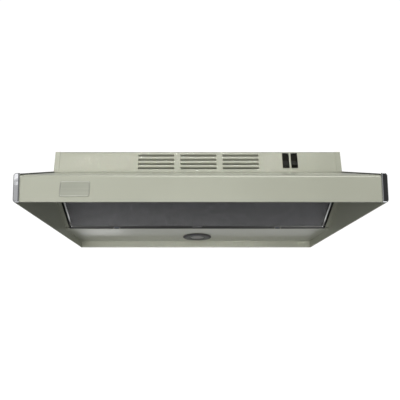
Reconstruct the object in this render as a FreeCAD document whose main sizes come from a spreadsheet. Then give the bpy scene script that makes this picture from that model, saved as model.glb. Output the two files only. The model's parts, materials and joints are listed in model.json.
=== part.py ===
import FreeCAD, Part
import math
import os
import Sketcher

# Under-cabinet range hood of the recirculating kind, 30 in wide, as a parametric document.
# Millimetres.  Every piece is drawn in shell coordinates: X to the right of the centre line, Y back
# from the face of the front band, Z up from the bottom rim.  Placements then move each piece so that
# the origin is the centre of the four cabinet-screw slots, on the top panel's upper face.

Vector = FreeCAD.Vector
doc = FreeCAD.newDocument("range_hood")


# ---------------------------------------------------------------------------------------------
# Sizes: numbers that remember the spreadsheet expression they came from
# ---------------------------------------------------------------------------------------------
class Size:
    """A number together with the expression that gives it in the document."""

    def __init__(self, value, text):
        self.value = float(value)
        self.text = text

    def _joined(self, other, sign, value):
        return Size(value, "(%s %s %s)" % (self.text, sign, size(other).text))

    def __add__(self, other):
        return self._joined(other, "+", self.value + size(other).value)

    def __radd__(self, other):
        return size(other) + self

    def __sub__(self, other):
        return self._joined(other, "-", self.value - size(other).value)

    def __rsub__(self, other):
        return size(other) - self

    def __mul__(self, other):
        return self._joined(other, "*", self.value * size(other).value)

    def __rmul__(self, other):
        return size(other) * self

    def __truediv__(self, other):
        return self._joined(other, "/", self.value / size(other).value)

    def __neg__(self):
        return Size(-self.value, "(-%s)" % self.text)


def size(number):
    """A plain number as a Size."""
    return number if isinstance(number, Size) else Size(number, repr(float(number)))


def root(number):
    return Size(math.sqrt(number.value), "sqrt(%s)" % number.text)


def sine(angle):
    return Size(math.sin(math.radians(angle.value)), "sin(%s)" % angle.text)


def cosine(angle):
    return Size(math.cos(math.radians(angle.value)), "cos(%s)" % angle.text)


def slope_of(rise, run):
    """The angle of a slope, in degrees."""
    return Size(math.degrees(math.atan2(rise.value, run.value)), "atan2(%s; %s)" % (rise.text, run.text))


dims_sheet = doc.addObject("Spreadsheet::Sheet", "dims")
worked_sheet = doc.addObject("Spreadsheet::Sheet", "worked")
rows_used = {"dims": 0, "worked": 0}


def next_row(sheet):
    rows_used[sheet.Name] += 1
    return rows_used[sheet.Name]


def drive(name, number):
    """A driving dimension: one row of the sheet, a name and a plain number."""
    row = next_row(dims_sheet)
    dims_sheet.set("A%d" % row, name)
    dims_sheet.set("B%d" % row, str(number))
    dims_sheet.setAlias("B%d" % row, name)
    return Size(number, "dims." + name)


def worked(name, formula):
    """A dimension worked out from the driving ones, kept in its own sheet."""
    row = next_row(worked_sheet)
    worked_sheet.set("A%d" % row, name)
    worked_sheet.set("B%d" % row, "=" + formula.text.replace("worked.", ""))
    worked_sheet.setAlias("B%d" % row, name)
    return Size(formula.value, "worked." + name)


# shell
shell_width = drive("shell_width", 755)
shell_depth = drive("shell_depth", 445)
shell_height = drive("shell_height", 202)
metal = drive("metal_thickness", 1.0)
band_height = drive("band_height", 58)
band_bend = drive("band_bend_radius", 6)
deck_run = drive("deck_run", 174)
deck_top = drive("deck_top_level", 143)
deck_start = drive("deck_start", 7)
weld_flange = drive("weld_flange", 12)
hem_height = drive("hem_height", 8)
band_hem = drive("band_hem_hollow", 2)
front_flange = drive("front_flange_width", 13)
seam_gap = drive("seam_gap", 2)
small_gap = drive("small_gap", 0.5)
# end caps
cap_width = drive("cap_width", 12.5)
cap_proud = drive("cap_proud_of_side", 3.5)
cap_flare = drive("cap_flare_over_height", 5.4)
cap_front = drive("cap_proud_of_front", 3.5)
cap_above = drive("cap_above_band", 4)
cap_below = drive("cap_below_band", 1.2)
cap_depth = drive("cap_side_depth", 18)
cap_round = drive("cap_corner_radius", 6)
cap_edge = drive("cap_edge_radius", 2.2)
peg_radius = drive("cap_peg_radius", 2)
peg_hole_radius = drive("cap_peg_hole_radius", 2.2)
# edge trims
trim_width = drive("trim_width", 3.6)
trim_over = drive("trim_over_side", 0.8)
trim_height = drive("trim_height", 2.8)
trim_lip = drive("trim_lip_depth", 3)
# louvres
louvre_length = drive("louvre_length", 95)
louvre_group_pitch = drive("louvre_group_pitch", 111.5)
louvre_height = drive("louvre_slot_height", 6.2)
louvre_pitch = drive("louvre_row_pitch", 12)
louvre_top = drive("louvre_first_row_below_top", 9.6)
louvre_x = drive("louvre_rows_centre_x", 1.5)
louvre_blade = drive("louvre_blade_thickness", 0.8)
louvre_reach = drive("louvre_blade_reach", 4)
louvre_drop = drive("louvre_blade_drop", 2.2)
LOUVRE_ROWS = 4
LOUVRE_GROUPS = 3
# rocker switches
switch_x = drive("first_switch_centre_x", 232.2)
switch_pitch = drive("switch_pitch", 22.3)
switch_below_top = drive("switch_centre_below_top", 24.6)
bezel_width = drive("switch_bezel_width", 17)
bezel_height = drive("switch_bezel_height", 42)
bezel_proud = drive("switch_bezel_proud", 1.7)
switch_wall = drive("switch_wall", 1.0)
rocker_width = drive("rocker_width", 13)
rocker_height = drive("rocker_height", 33.6)
rocker_gap = drive("rocker_side_gap", 0.3)
rocker_end_gap = drive("rocker_end_gap", 1.1)
rocker_tilt = drive("rocker_tilt", 8)
rocker_pin = drive("rocker_pin_radius", 1.4)
rocker_pin_hole = drive("rocker_pin_hole_radius", 1.48)
switch_depth = drive("switch_depth", 22)
# mounting holes
cabinet_slot_x = drive("cabinet_slot_spacing_x", 560)
cabinet_slot_y = drive("cabinet_slot_spacing_y", 180)
slot_length = drive("cabinet_slot_length", 18)
slot_radius = drive("cabinet_slot_half_width", 3.5)
wall_hole_x = drive("wall_hole_spacing", 560)
wall_hole_radius = drive("wall_hole_radius", 3.5)
wall_hole_drop = drive("wall_hole_below_top", 30)
inlet_hole = drive("inlet_hole_radius", 11)
inlet_bore = drive("inlet_bore_radius", 8)
inlet_x = drive("inlet_x", 325)
inlet_from_back = drive("inlet_from_back", 35)
inlet_length = drive("inlet_bushing_length", 12)
# lamp panel and lamp
lamp_level = drive("lamp_panel_level", 21)
lamp_panel_depth = drive("lamp_panel_depth", 157)
lamp_flange = drive("lamp_panel_front_flange", 14)
lamp_x = drive("lamp_centre_x", 2.5)
lamp_from_back = drive("lamp_from_back", 62.5)
lamp_radius = drive("lamp_bezel_radius", 44)
lamp_drop = drive("lamp_bezel_drop", 4)
lamp_face_radius = drive("lamp_bezel_face_radius", 34)
lamp_glass_radius = drive("lamp_glass_visible_radius", 21)
glass_thickness = drive("lamp_glass_thickness", 2.5)
lamp_hole = drive("lamp_hole_radius", 38)
lamp_can_wall = drive("lamp_can_wall", 1.0)
lamp_can_radius = drive("lamp_can_radius", 42)
lamp_can_height = drive("lamp_can_height", 40)
lug_turn = drive("lamp_bezel_turn", 25)
# filter
filter_thickness = drive("filter_thickness", 9)
filter_side_gap = drive("filter_side_gap", 19)
filter_end_gap = drive("filter_end_gap", 7)
filter_deck_gap = drive("filter_deck_gap", 5)
filter_plate_gap = drive("filter_plate_gap", 1.43)
frame_lip = drive("filter_frame_lip", 3.6)
frame_wall = drive("filter_frame_wall", 0.8)
mesh_layer = drive("filter_mesh_layer", 1.5)
pivot_inset = drive("filter_pivot_inset", 6)
pivot_pin = drive("filter_pivot_pin_radius", 2.5)
pivot_bore = drive("filter_pivot_bore_radius", 2.6)
pivot_block = drive("filter_pivot_block_radius", 6)
pivot_pin_length = drive("filter_pivot_pin_length", 8)
rail_cover = drive("rail_cover_over_filter", 9)
rail_leg = drive("rail_wall_leg", 12)
rail_start = drive("rail_start_below_pivot", 24)
guide_width = drive("guide_width", 11.5)
catch_x = drive("catch_x", 230)
catch_width = drive("catch_width", 14)
gasket_gap = drive("gasket_gap", 2)
# fan
fan_plate_drop = drive("fan_plate_below_deck_top", 15)
fan_from_back = drive("fan_from_back", 145)
orifice_radius = drive("fan_orifice_radius", 98)
collar_height = drive("fan_collar_height", 14)
fan_tip_gap = drive("fan_tip_gap", 4)
blade_chord = drive("fan_blade_chord", 50)
blade_pitch = drive("fan_blade_pitch", 22)
blade_metal = drive("fan_blade_thickness", 1.2)
hub_radius = drive("fan_hub_radius", 16)
hub_height = drive("fan_hub_height", 18)
shaft_radius = drive("motor_shaft_radius", 4)
bearing_gap = drive("bearing_radial_gap", 0.05)
motor_radius = drive("motor_radius", 38)
motor_height = drive("motor_height", 33)
motor_wall = drive("motor_can_wall", 1.2)
bracket_metal = drive("motor_bracket_thickness", 1.5)
bracket_width = drive("motor_bracket_width", 44)
bracket_foot = drive("motor_bracket_foot", 16)
screw_radius = drive("screw_radius", 2)
screw_hole = drive("screw_hole_radius", 2.2)
# wiring
wiring_box_width = drive("wiring_box_width", 70)
wiring_box_height = drive("wiring_box_height", 40)
lead_radius = drive("lead_radius", 2.5)
grommet_x = drive("lead_grommet_x", 345)
BLADES = 5

# worked sizes of the shell
half = worked("half_width", shell_width / 2)
inner = worked("inner_half_width", half - metal)
deck_rise = worked("deck_rise", deck_top - band_height)
deck_length = worked("deck_length", root(deck_run * deck_run + deck_rise * deck_rise))
deck_cos = worked("deck_cos", deck_run / deck_length)
deck_sin = worked("deck_sin", deck_rise / deck_length)
deck_grade = worked("deck_grade", deck_rise / deck_run)
deck_drop = worked("deck_metal_drop", metal / deck_cos)
back_face = worked("back_inner_face", shell_depth - metal)
fascia_y = worked("fascia_face", deck_run + metal)
slot_middle = worked("slot_middle", (fascia_y + shell_depth) / 2)
# worked sizes of the filter, which leans from under the fan plate and the deck to the lamp panel
plate_z = worked("fan_plate_level", deck_top - fan_plate_drop)
plate_top = worked("fan_plate_top", plate_z + metal)
lamp_front = worked("lamp_panel_front", shell_depth - lamp_panel_depth)
top_z = worked("filter_top_z", plate_z - filter_thickness - filter_plate_gap)
top_below = worked("filter_top_below_deck", metal + filter_deck_gap + filter_thickness / 2)
top_y = worked("filter_top_y", (top_z + top_below / deck_cos - band_height) / deck_grade)
fall = worked("filter_fall", top_z - lamp_level)
run = worked("filter_run", lamp_front - top_y)
filter_slope = worked("filter_slope", slope_of(fall, run))
lean_sin = worked("filter_sin", sine(filter_slope))
lean_cos = worked("filter_cos", cosine(filter_slope))
filter_length = worked("filter_length", root(fall * fall + run * run) - filter_end_gap)
filter_half = worked("filter_half_width", half - filter_side_gap)
pivot_y = worked("filter_pivot_y", top_y + lean_cos * pivot_inset + lean_sin * filter_thickness / 2)
pivot_z = worked("filter_pivot_z", top_z - lean_sin * pivot_inset + lean_cos * filter_thickness / 2)
# worked sizes of the fan and the lamp
fan_y = worked("fan_y", shell_depth - fan_from_back)
collar_radius = worked("collar_radius", orifice_radius + metal)
fan_radius = worked("fan_radius", orifice_radius - fan_tip_gap)
can_bottom = worked("motor_bottom", plate_z + collar_height + 1)
can_top = worked("motor_top", can_bottom + motor_height)
bracket_top = worked("bracket_top", can_top + bracket_metal)
hub_bottom = worked("hub_bottom", plate_z - hub_height / 2)
lamp_y = worked("lamp_y", shell_depth - lamp_from_back)
switch_z = worked("switch_z", shell_height - switch_below_top)
inlet_y = worked("inlet_y", shell_depth - inlet_from_back)


# ---------------------------------------------------------------------------------------------
# Drawing helpers
# ---------------------------------------------------------------------------------------------
nodes = []


def bind(thing, prop, number):
    """Tie one property of an object to a size."""
    thing.setExpression(prop, size(number).text)


def place(thing, x=0, y=0, z=0):
    """Move a piece from shell coordinates to the origin at the cabinet-screw slots."""
    bind(thing, "Placement.Base.x", size(x))
    bind(thing, "Placement.Base.y", y - slot_middle)
    bind(thing, "Placement.Base.z", z - shell_height)


def node(thing, label, x=0, y=0, z=0):
    """Name a finished piece and place it."""
    thing.Label = label
    place(thing, size(x), size(y), size(z))
    nodes.append(thing)
    return thing


def new_body(name):
    return doc.addObject("PartDesign::Body", name)


def drawing(body, role, loops=(), rings=(), offset=0):
    """A sketch on one of the body's origin planes, with every corner and circle dimensioned."""
    sketch = body.newObject("Sketcher::SketchObject", body.Name + "_sketch")
    plane = [item for item in body.Origin.OriginFeatures if item.Role == role][0]
    sketch.AttachmentSupport = (plane, [""])
    sketch.MapMode = "FlatFace"
    bind(sketch, "AttachmentOffset.Base.z", size(offset))
    for corners in loops:
        corners = [(size(u), size(v)) for u, v in corners]
        first = sketch.GeometryCount
        count = len(corners)
        for i, (u, v) in enumerate(corners):
            after = corners[(i + 1) % count]
            start = Vector(u.value, v.value, 0)
            end = Vector(after[0].value, after[1].value, 0)
            sketch.addGeometry(Part.LineSegment(start, end), False)
        for i in range(count):
            sketch.addConstraint(Sketcher.Constraint("Coincident", first + i, 2, first + (i + 1) % count, 1))
        for i, (u, v) in enumerate(corners):
            dimension(sketch, "DistanceX", first + i, 1, u)
            dimension(sketch, "DistanceY", first + i, 1, v)
    for u, v, radius in rings:
        u, v, radius = size(u), size(v), size(radius)
        circle = Part.Circle(Vector(u.value, v.value, 0), Vector(0, 0, 1), radius.value)
        index = sketch.addGeometry(circle, False)
        dimension(sketch, "DistanceX", index, 3, u)
        dimension(sketch, "DistanceY", index, 3, v)
        constraint = sketch.addConstraint(Sketcher.Constraint("Radius", index, radius.value))
        sketch.setExpression("Constraints[%d]" % constraint, radius.text)
    return sketch


def dimension(sketch, kind, index, point, number):
    constraint = sketch.addConstraint(Sketcher.Constraint(kind, index, point, number.value))
    sketch.setExpression("Constraints[%d]" % constraint, number.text)


def feature(body, kind, sketch, length, symmetric=False, reverse=False):
    """A Pad or a Pocket of a sketch; a length of None cuts through everything, both ways."""
    made = body.newObject("PartDesign::" + kind, body.Name + "_" + kind.lower())
    made.Profile = sketch
    if length is None:
        made.Type = "ThroughAll"
        made.SideType = "Symmetric"
    else:
        bind(made, "Length", length)
        made.SideType = "Symmetric" if symmetric else "One side"
        made.Reversed = reverse
    body.Tip = made
    return made


def pad(body, role, loops=(), rings=(), offset=0, length=None, symmetric=False, reverse=False):
    sketch = drawing(body, role, loops, rings, offset)
    return feature(body, "Pad", sketch, length, symmetric, reverse)


def pocket(body, role, loops=(), rings=(), offset=0, length=None, symmetric=False, reverse=False):
    sketch = drawing(body, role, loops, rings, offset)
    return feature(body, "Pocket", sketch, length, symmetric, reverse)


def row_of(body, original, role, length, count):
    """Repeat a feature in a straight row along one of the body's axes."""
    pattern = body.newObject("PartDesign::LinearPattern", body.Name + "_row")
    pattern.Originals = [original]
    axis = [item for item in body.Origin.OriginFeatures if item.Role == role][0]
    pattern.Direction = (axis, [""])
    bind(pattern, "Length", length)
    pattern.Occurrences = count
    body.Tip = pattern
    return pattern


def round_edges(body, radius, wanted):
    """Fillet the edges of the body's tip that the given test picks out."""
    doc.recompute()
    base = body.Tip
    names = ["Edge%d" % (i + 1) for i, edge in enumerate(base.Shape.Edges) if wanted(edge)]
    fillet = body.newObject("PartDesign::Fillet", body.Name + "_fillet")
    fillet.Base = (base, names)
    bind(fillet, "Radius", radius)
    body.Tip = fillet
    return fillet


def bends(corners):
    """A test for edges that run along X through the given (y, z) corners."""
    spots = [(size(y).value, size(z).value) for y, z in corners]

    def wanted(edge):
        a, b = edge.Vertexes[0].Point, edge.Vertexes[-1].Point
        along = abs(a.y - b.y) < 1e-4 and abs(a.z - b.z) < 1e-4 and abs(a.x - b.x) > 1e-4
        return along and any(abs(a.y - y) < 1e-3 and abs(a.z - z) < 1e-3 for y, z in spots)

    return wanted


def rectangle(u0, u1, v0, v1):
    return [(u0, v0), (u1, v0), (u1, v1), (u0, v1)]


def block(name, x0, x1, y0, y1, z0, z1):
    """A Part box between two corners, in shell coordinates."""
    box = doc.addObject("Part::Box", name)
    for prop, low, high in (("Length", x0, x1), ("Width", y0, y1), ("Height", z0, z1)):
        bind(box, prop, size(high) - size(low))
    for prop, low in (("x", x0), ("y", y0), ("z", z0)):
        bind(box, "Placement.Base." + prop, low)
    return box


AXES = {"x": Vector(0, 1, 0), "y": Vector(-1, 0, 0), "z": Vector(0, 0, 1)}
TURNS = {"x": 90, "y": 90, "z": 0}


def rod(name, x, y, z, radius, length, axis="z"):
    """A Part cylinder from a point along +X, +Y or +Z."""
    cylinder = doc.addObject("Part::Cylinder", name)
    cylinder.Placement.Rotation = FreeCAD.Rotation(AXES[axis], TURNS[axis])
    bind(cylinder, "Radius", radius)
    bind(cylinder, "Height", length)
    for prop, number in (("x", x), ("y", y), ("z", z)):
        bind(cylinder, "Placement.Base." + prop, number)
    return cylinder


def fused(name, shapes):
    joined = doc.addObject("Part::MultiFuse", name)
    joined.Shapes = shapes
    return joined


def minus(name, base, tool):
    cut = doc.addObject("Part::Cut", name)
    cut.Base = base
    cut.Tool = tool
    return cut


def ring(name, x, y, z, outer, bore, length, axis="z"):
    """A plain bush: one cylinder bored by another."""
    return minus(name, rod(name + "_outside", x, y, z, outer, length, axis),
                 rod(name + "_bore", x, y, z, bore, length, axis))


def group(name, label, shapes):
    """Identical loose solids that share one node."""
    together = doc.addObject("Part::Compound", name)
    together.Links = shapes
    return node(together, label)


def deck_point(along, below=0):
    """A point of the deck's section: along the slope from the band's top, and below the surface."""
    return (deck_cos * along + deck_sin * below, band_height + deck_sin * along - deck_cos * below)


def under_deck(y, layers=1):
    """Height of the deck's underside, or of a further layer of metal, at a given depth."""
    return band_height + deck_grade * y - deck_drop * layers


# ---------------------------------------------------------------------------------------------
# Shell: side panels, front band, deck, fascia, top and back
# ---------------------------------------------------------------------------------------------
def side_panel(label, side):
    """One flat end of the shell with its weld flanges and bottom hem turned inwards."""
    body = new_body(label)
    inwards = side > 0
    outline = [(0, 0), (shell_depth, 0), (shell_depth, shell_height), (deck_run, shell_height),
               (deck_run, deck_top), (0, band_height)]
    pad(body, "YZ_Plane", [outline], length=metal, reverse=inwards)
    peg_y = cap_depth / 2 + 2
    pocket(body, "YZ_Plane", rings=[(peg_y, band_height / 2, peg_hole_radius)])
    hem = rectangle(band_bend + weld_flange, back_face - metal, 0, hem_height)
    pad(body, "YZ_Plane", [hem], length=metal * 2, reverse=inwards)
    front = rectangle(deck_run, fascia_y, deck_top + seam_gap, shell_height)
    pad(body, "YZ_Plane", [front], length=front_flange, reverse=inwards)
    node(body, label, x=half * side)


def front_band():
    """The upright front strip: a J hem along the bottom and a weld flange under the deck."""
    body = new_body("band")
    flange_end = deck_start + weld_flange + 3
    top_outer = (0, band_height - deck_drop)
    top_inner = (metal, under_deck(metal, 2))
    hem_back = band_hem + metal * 2
    hem_bend = hem_back * 0.45
    profile = [(0, 0), (hem_back, 0), (hem_back, hem_height), (hem_back - metal, hem_height),
               (hem_back - metal, metal), (metal, metal), top_inner,
               deck_point(flange_end, metal * 2), deck_point(flange_end, metal), top_outer]
    pad(body, "YZ_Plane", [profile], length=inner * 2, symmetric=True)
    round_edges(body, band_bend, bends([top_outer]))
    round_edges(body, band_bend - metal, bends([top_inner]))
    round_edges(body, hem_bend, bends([(0, 0), (hem_back, 0)]))
    round_edges(body, hem_bend - metal, bends([(metal, metal), (hem_back - metal, metal)]))
    node(body, "front_band")


def sloped_deck():
    """The sloping top sheet between the band and the upper box, turned up behind the fascia."""
    body = new_body("deck")
    flange_y = fascia_y + metal
    outer_bend = (flange_y, band_height + deck_grade * flange_y)
    inner_bend = (flange_y + metal, under_deck(flange_y + metal))
    flange_top = deck_top + weld_flange - 3
    profile = [deck_point(deck_start), deck_point(deck_start, metal), inner_bend,
               (flange_y + metal, flange_top), (flange_y, flange_top), outer_bend]
    pad(body, "YZ_Plane", [profile], length=inner * 2, symmetric=True)
    round_edges(body, metal * 2, bends([inner_bend]))
    round_edges(body, metal, bends([outer_bend]))
    node(body, "sloped_deck")


def upper_fascia():
    """The upright face of the upper box: lanced louvres, two switch cut-outs and a top flange."""
    body = new_body("fascia")
    foot = deck_top + seam_gap
    flange_z = shell_height - metal
    back_y = fascia_y + metal
    profile = [(fascia_y, foot), (back_y, foot), (back_y, flange_z - metal),
               (back_y + weld_flange, flange_z - metal), (back_y + weld_flange, flange_z), (fascia_y, flange_z)]
    pad(body, "YZ_Plane", [profile], length=inner * 2, symmetric=True)
    round_edges(body, metal * 1.8, bends([(fascia_y, flange_z)]))
    round_edges(body, metal * 0.8, bends([(back_y, flange_z - metal)]))
    first_x = louvre_x + louvre_group_pitch * (1 - LOUVRE_GROUPS) / 2
    rows = [shell_height - louvre_top - louvre_pitch * i for i in range(LOUVRE_ROWS)]
    slots = [rectangle(first_x - louvre_length / 2, first_x + louvre_length / 2,
                       z - louvre_height / 2, z + louvre_height / 2) for z in rows]
    cuts = pocket(body, "XZ_Plane", slots)
    row_of(body, cuts, "X_Axis", louvre_group_pitch * (LOUVRE_GROUPS - 1), LOUVRE_GROUPS)
    blades = []
    for z in rows:
        edge = z + louvre_height / 2
        tip = edge - louvre_drop
        blades.append([(fascia_y, edge), (back_y + louvre_reach, tip),
                       (back_y + louvre_reach, tip + louvre_blade), (back_y, edge + louvre_blade),
                       (fascia_y + metal / 2, edge + louvre_blade)])
    lances = pad(body, "YZ_Plane", blades, offset=first_x, length=louvre_length, symmetric=True)
    row_of(body, lances, "X_Axis", louvre_group_pitch * (LOUVRE_GROUPS - 1), LOUVRE_GROUPS)
    cut_half_width = rocker_width / 2 + rocker_gap + switch_wall + 0.2
    cut_half_height = bezel_height / 2 - 1.3
    openings = [rectangle(x - cut_half_width, x + cut_half_width, switch_z - cut_half_height,
                          switch_z + cut_half_height) for x in (switch_x, switch_x + switch_pitch)]
    pocket(body, "XZ_Plane", openings)
    node(body, "upper_fascia")


def top_panel():
    """The flat top that screws up to the cabinet: four slots and the cable hole."""
    body = new_body("top")
    pad(body, "XY_Plane", [rectangle(-inner, inner, fascia_y, back_face)],
        offset=shell_height - metal, length=metal)
    straight = slot_length / 2 - slot_radius
    middles = [(x * cabinet_slot_x / 2, slot_middle + y * cabinet_slot_y / 2) for x in (-1, 1) for y in (-1, 1)]
    pocket(body, "XY_Plane", [rectangle(x - straight, x + straight, y - slot_radius, y + slot_radius)
                              for x, y in middles])
    pocket(body, "XY_Plane", rings=[(x - straight, y, slot_radius) for x, y in middles]
           + [(inlet_x, inlet_y, inlet_hole)])
    pocket(body, "XY_Plane", rings=[(x + straight, y, slot_radius) for x, y in middles])
    node(body, "top_panel")


def back_panel():
    """The flat back against the wall, hemmed at the bottom, with two screw holes."""
    body = new_body("back")
    profile = [(back_face - metal, 0), (shell_depth, 0), (shell_depth, shell_height),
               (back_face, shell_height), (back_face, hem_height), (back_face - metal, hem_height)]
    pad(body, "YZ_Plane", [profile], length=inner * 2, symmetric=True)
    level = shell_height - wall_hole_drop
    pocket(body, "XZ_Plane", rings=[(wall_hole_x / -2, level, wall_hole_radius),
                                    (wall_hole_x / 2, level, wall_hole_radius)])
    node(body, "back_panel")


def end_cap(label, side):
    """A moulded, plated cap over one end of the front band, with a snap peg through the side."""
    body = new_body(label)
    low = -cap_below
    high = band_height + cap_above
    foot = half + cap_proud - cap_flare / 2
    crown = half + cap_proud + cap_flare / 2
    outline = [((foot - cap_width) * side, low), (foot * side, low), (crown * side, high),
               ((crown - cap_width) * side, high)]
    pad(body, "XZ_Plane", [outline], offset=cap_front, length=cap_front + cap_depth, reverse=True)
    pocket(body, "XY_Plane", [rectangle((half - cap_width * 2) * side, half * side, 0, cap_depth + 2)])

    def outer_corners(edge):
        a, b = edge.Vertexes[0].Point, edge.Vertexes[-1].Point
        through = abs(a.x - b.x) < 1e-4 and abs(a.z - b.z) < 1e-4
        spots = ((foot.value, low.value), (crown.value, high.value))
        return through and any(abs(abs(a.x) - x) < 1e-3 and abs(a.z - z) < 1e-3 for x, z in spots)

    round_edges(body, cap_round, outer_corners)
    front = (-cap_front).value

    def front_edges(edge):
        return all(abs(vertex.Point.y - front) < 1e-3 for vertex in edge.Vertexes) and edge.Length > 1e-3

    round_edges(body, cap_edge, front_edges)
    peg = [(cap_depth / 2 + 2, band_height / 2, peg_radius)]
    pad(body, "YZ_Plane", rings=peg, offset=half * side, length=metal + 1.5, reverse=side > 0)
    node(body, label)


def edge_trim(label, side):
    """A dark strip laid along the seam of the deck and the side, with a lip over the side."""
    body = new_body(label)
    start = (cap_above + 0.8) / deck_sin
    lip_start = (cap_depth + 2) / deck_cos
    end = deck_length - 2
    outside = (half + trim_over) * side
    strip = [deck_point(start), deck_point(end), deck_point(end, -trim_height), deck_point(start, -trim_height)]
    pad(body, "YZ_Plane", [strip], offset=outside, length=trim_width, reverse=side > 0)
    lip = [deck_point(lip_start, trim_lip), deck_point(end, trim_lip), deck_point(end, -trim_height / 2),
           deck_point(lip_start, -trim_height / 2)]
    pad(body, "YZ_Plane", [lip], offset=outside, length=trim_over, reverse=side > 0)
    node(body, label)


# ---------------------------------------------------------------------------------------------
# Lamp panel and lamp
# ---------------------------------------------------------------------------------------------
def lamp_panel():
    """The level tray behind the filter that carries the lamp; its front flange leans back."""
    body = new_body("lamp_tray")
    rise = (1 + lean_sin) * metal / lean_cos
    flange_top = (lamp_front + lean_sin * lamp_flange, lamp_level + lean_cos * lamp_flange)
    profile = [(lamp_front, lamp_level), (back_face, lamp_level), (back_face, lamp_level + weld_flange),
               (back_face - metal, lamp_level + weld_flange), (back_face - metal, lamp_level + metal),
               (lamp_front + lean_cos * metal + lean_sin * rise, lamp_level + metal),
               (flange_top[0] + lean_cos * metal, flange_top[1] - lean_sin * metal), flange_top]
    pad(body, "YZ_Plane", [profile], length=inner * 2, symmetric=True)
    round_edges(body, metal, bends([(lamp_front, lamp_level)]))
    sides = [rectangle(inner * side, (inner - metal) * side, lamp_level, lamp_level + weld_flange)
             for side in (-1, 1)]
    start = lamp_front + lamp_flange
    pad(body, "XZ_Plane", sides, offset=-start, length=back_face - metal - start, reverse=True)
    pocket(body, "XY_Plane", rings=[(lamp_x, lamp_y, lamp_hole)])
    notch = rectangle(lamp_x - lamp_hole - 3, lamp_x + lamp_hole + 3, lamp_y - 6, lamp_y + 6)
    pocket(body, "XY_Plane", [notch])
    node(body, "lamp_panel")


def turned(body, profile):
    """Turn a closed section about the body's own Z axis; u is the radius and v the height."""
    sketch = drawing(body, "XZ_Plane", [profile])
    made = body.newObject("PartDesign::Revolution", body.Name + "_turned")
    made.Profile = sketch
    made.ReferenceAxis = (sketch, ["V_Axis"])
    made.Angle = 360
    body.Tip = made
    return made


def lamp_pieces():
    """Can, holder and bulb above the panel; a bezel that twists off below with its glass."""
    floor = lamp_level + metal
    roof = floor + lamp_can_height
    can = new_body("can")
    wall = lamp_can_radius - lamp_can_wall
    turned(can, [(wall, floor), (lamp_can_radius + 8, floor), (lamp_can_radius + 8, floor + lamp_can_wall),
                 (lamp_can_radius, floor + lamp_can_wall), (lamp_can_radius, roof), (0, roof),
                 (0, roof - lamp_can_wall), (wall, roof - lamp_can_wall)])
    node(can, "lamp_housing", x=lamp_x, y=lamp_y)
    holder = new_body("holder")
    holder_base = roof - lamp_can_wall - 13
    turned(holder, [(0, holder_base), (9, holder_base), (11, holder_base + 3), (11, roof - lamp_can_wall),
                    (0, roof - lamp_can_wall)])
    node(holder, "lamp_holder", x=lamp_x, y=lamp_y)
    bulb = new_body("bulb")
    turned(bulb, [(0, floor), (5, floor + 1), (8.5, floor + 5), (9.5, floor + 10), (8, floor + 16),
                  (6, floor + 21), (6, holder_base), (0, holder_base)])
    node(bulb, "lamp_bulb", x=lamp_x, y=lamp_y)
    bezel = new_body("bezel")
    face = lamp_level - lamp_drop
    brim = lamp_level - small_gap
    seat = face + 1.5
    neck = lamp_hole - small_gap
    crown = floor + 6
    turned(bezel, [(lamp_glass_radius, face), (lamp_face_radius, face), (lamp_radius, brim - 1.2),
                   (lamp_radius, brim), (neck, brim), (neck, crown), (neck - 1.5, crown),
                   (neck - 1.5, seat), (lamp_glass_radius, seat)])
    lug = rectangle(-3.5, 3.5, neck - 0.5, neck + 2.5)
    other_lug = rectangle(-3.5, 3.5, -(neck + 2.5), -(neck - 0.5))
    pad(bezel, "XY_Plane", [lug, other_lug], offset=floor + small_gap, length=2.5)
    node(bezel, "lamp_bezel", x=lamp_x, y=lamp_y)
    glass = new_body("glass")
    turned(glass, [(0, seat), (neck - 1.5, seat), (neck - 1.5, seat + glass_thickness),
                   (0, seat + glass_thickness)])
    node(glass, "lamp_glass", x=lamp_x, y=lamp_y)


# ---------------------------------------------------------------------------------------------
# Filter, its pivots, rails and catches
# ---------------------------------------------------------------------------------------------
def lay_on_filter(body):
    """Give a piece the filter's own frame: Y down its length, Z out of its upper side."""
    body.Placement = FreeCAD.Placement(Vector(0, 0, 0), FreeCAD.Rotation(Vector(1, 0, 0), -filter_slope.value))
    bind(body, "Placement.Rotation.Angle", -filter_slope)


def filter_piece(body, label):
    lay_on_filter(body)
    node(body, label, y=top_y, z=top_z)


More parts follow.
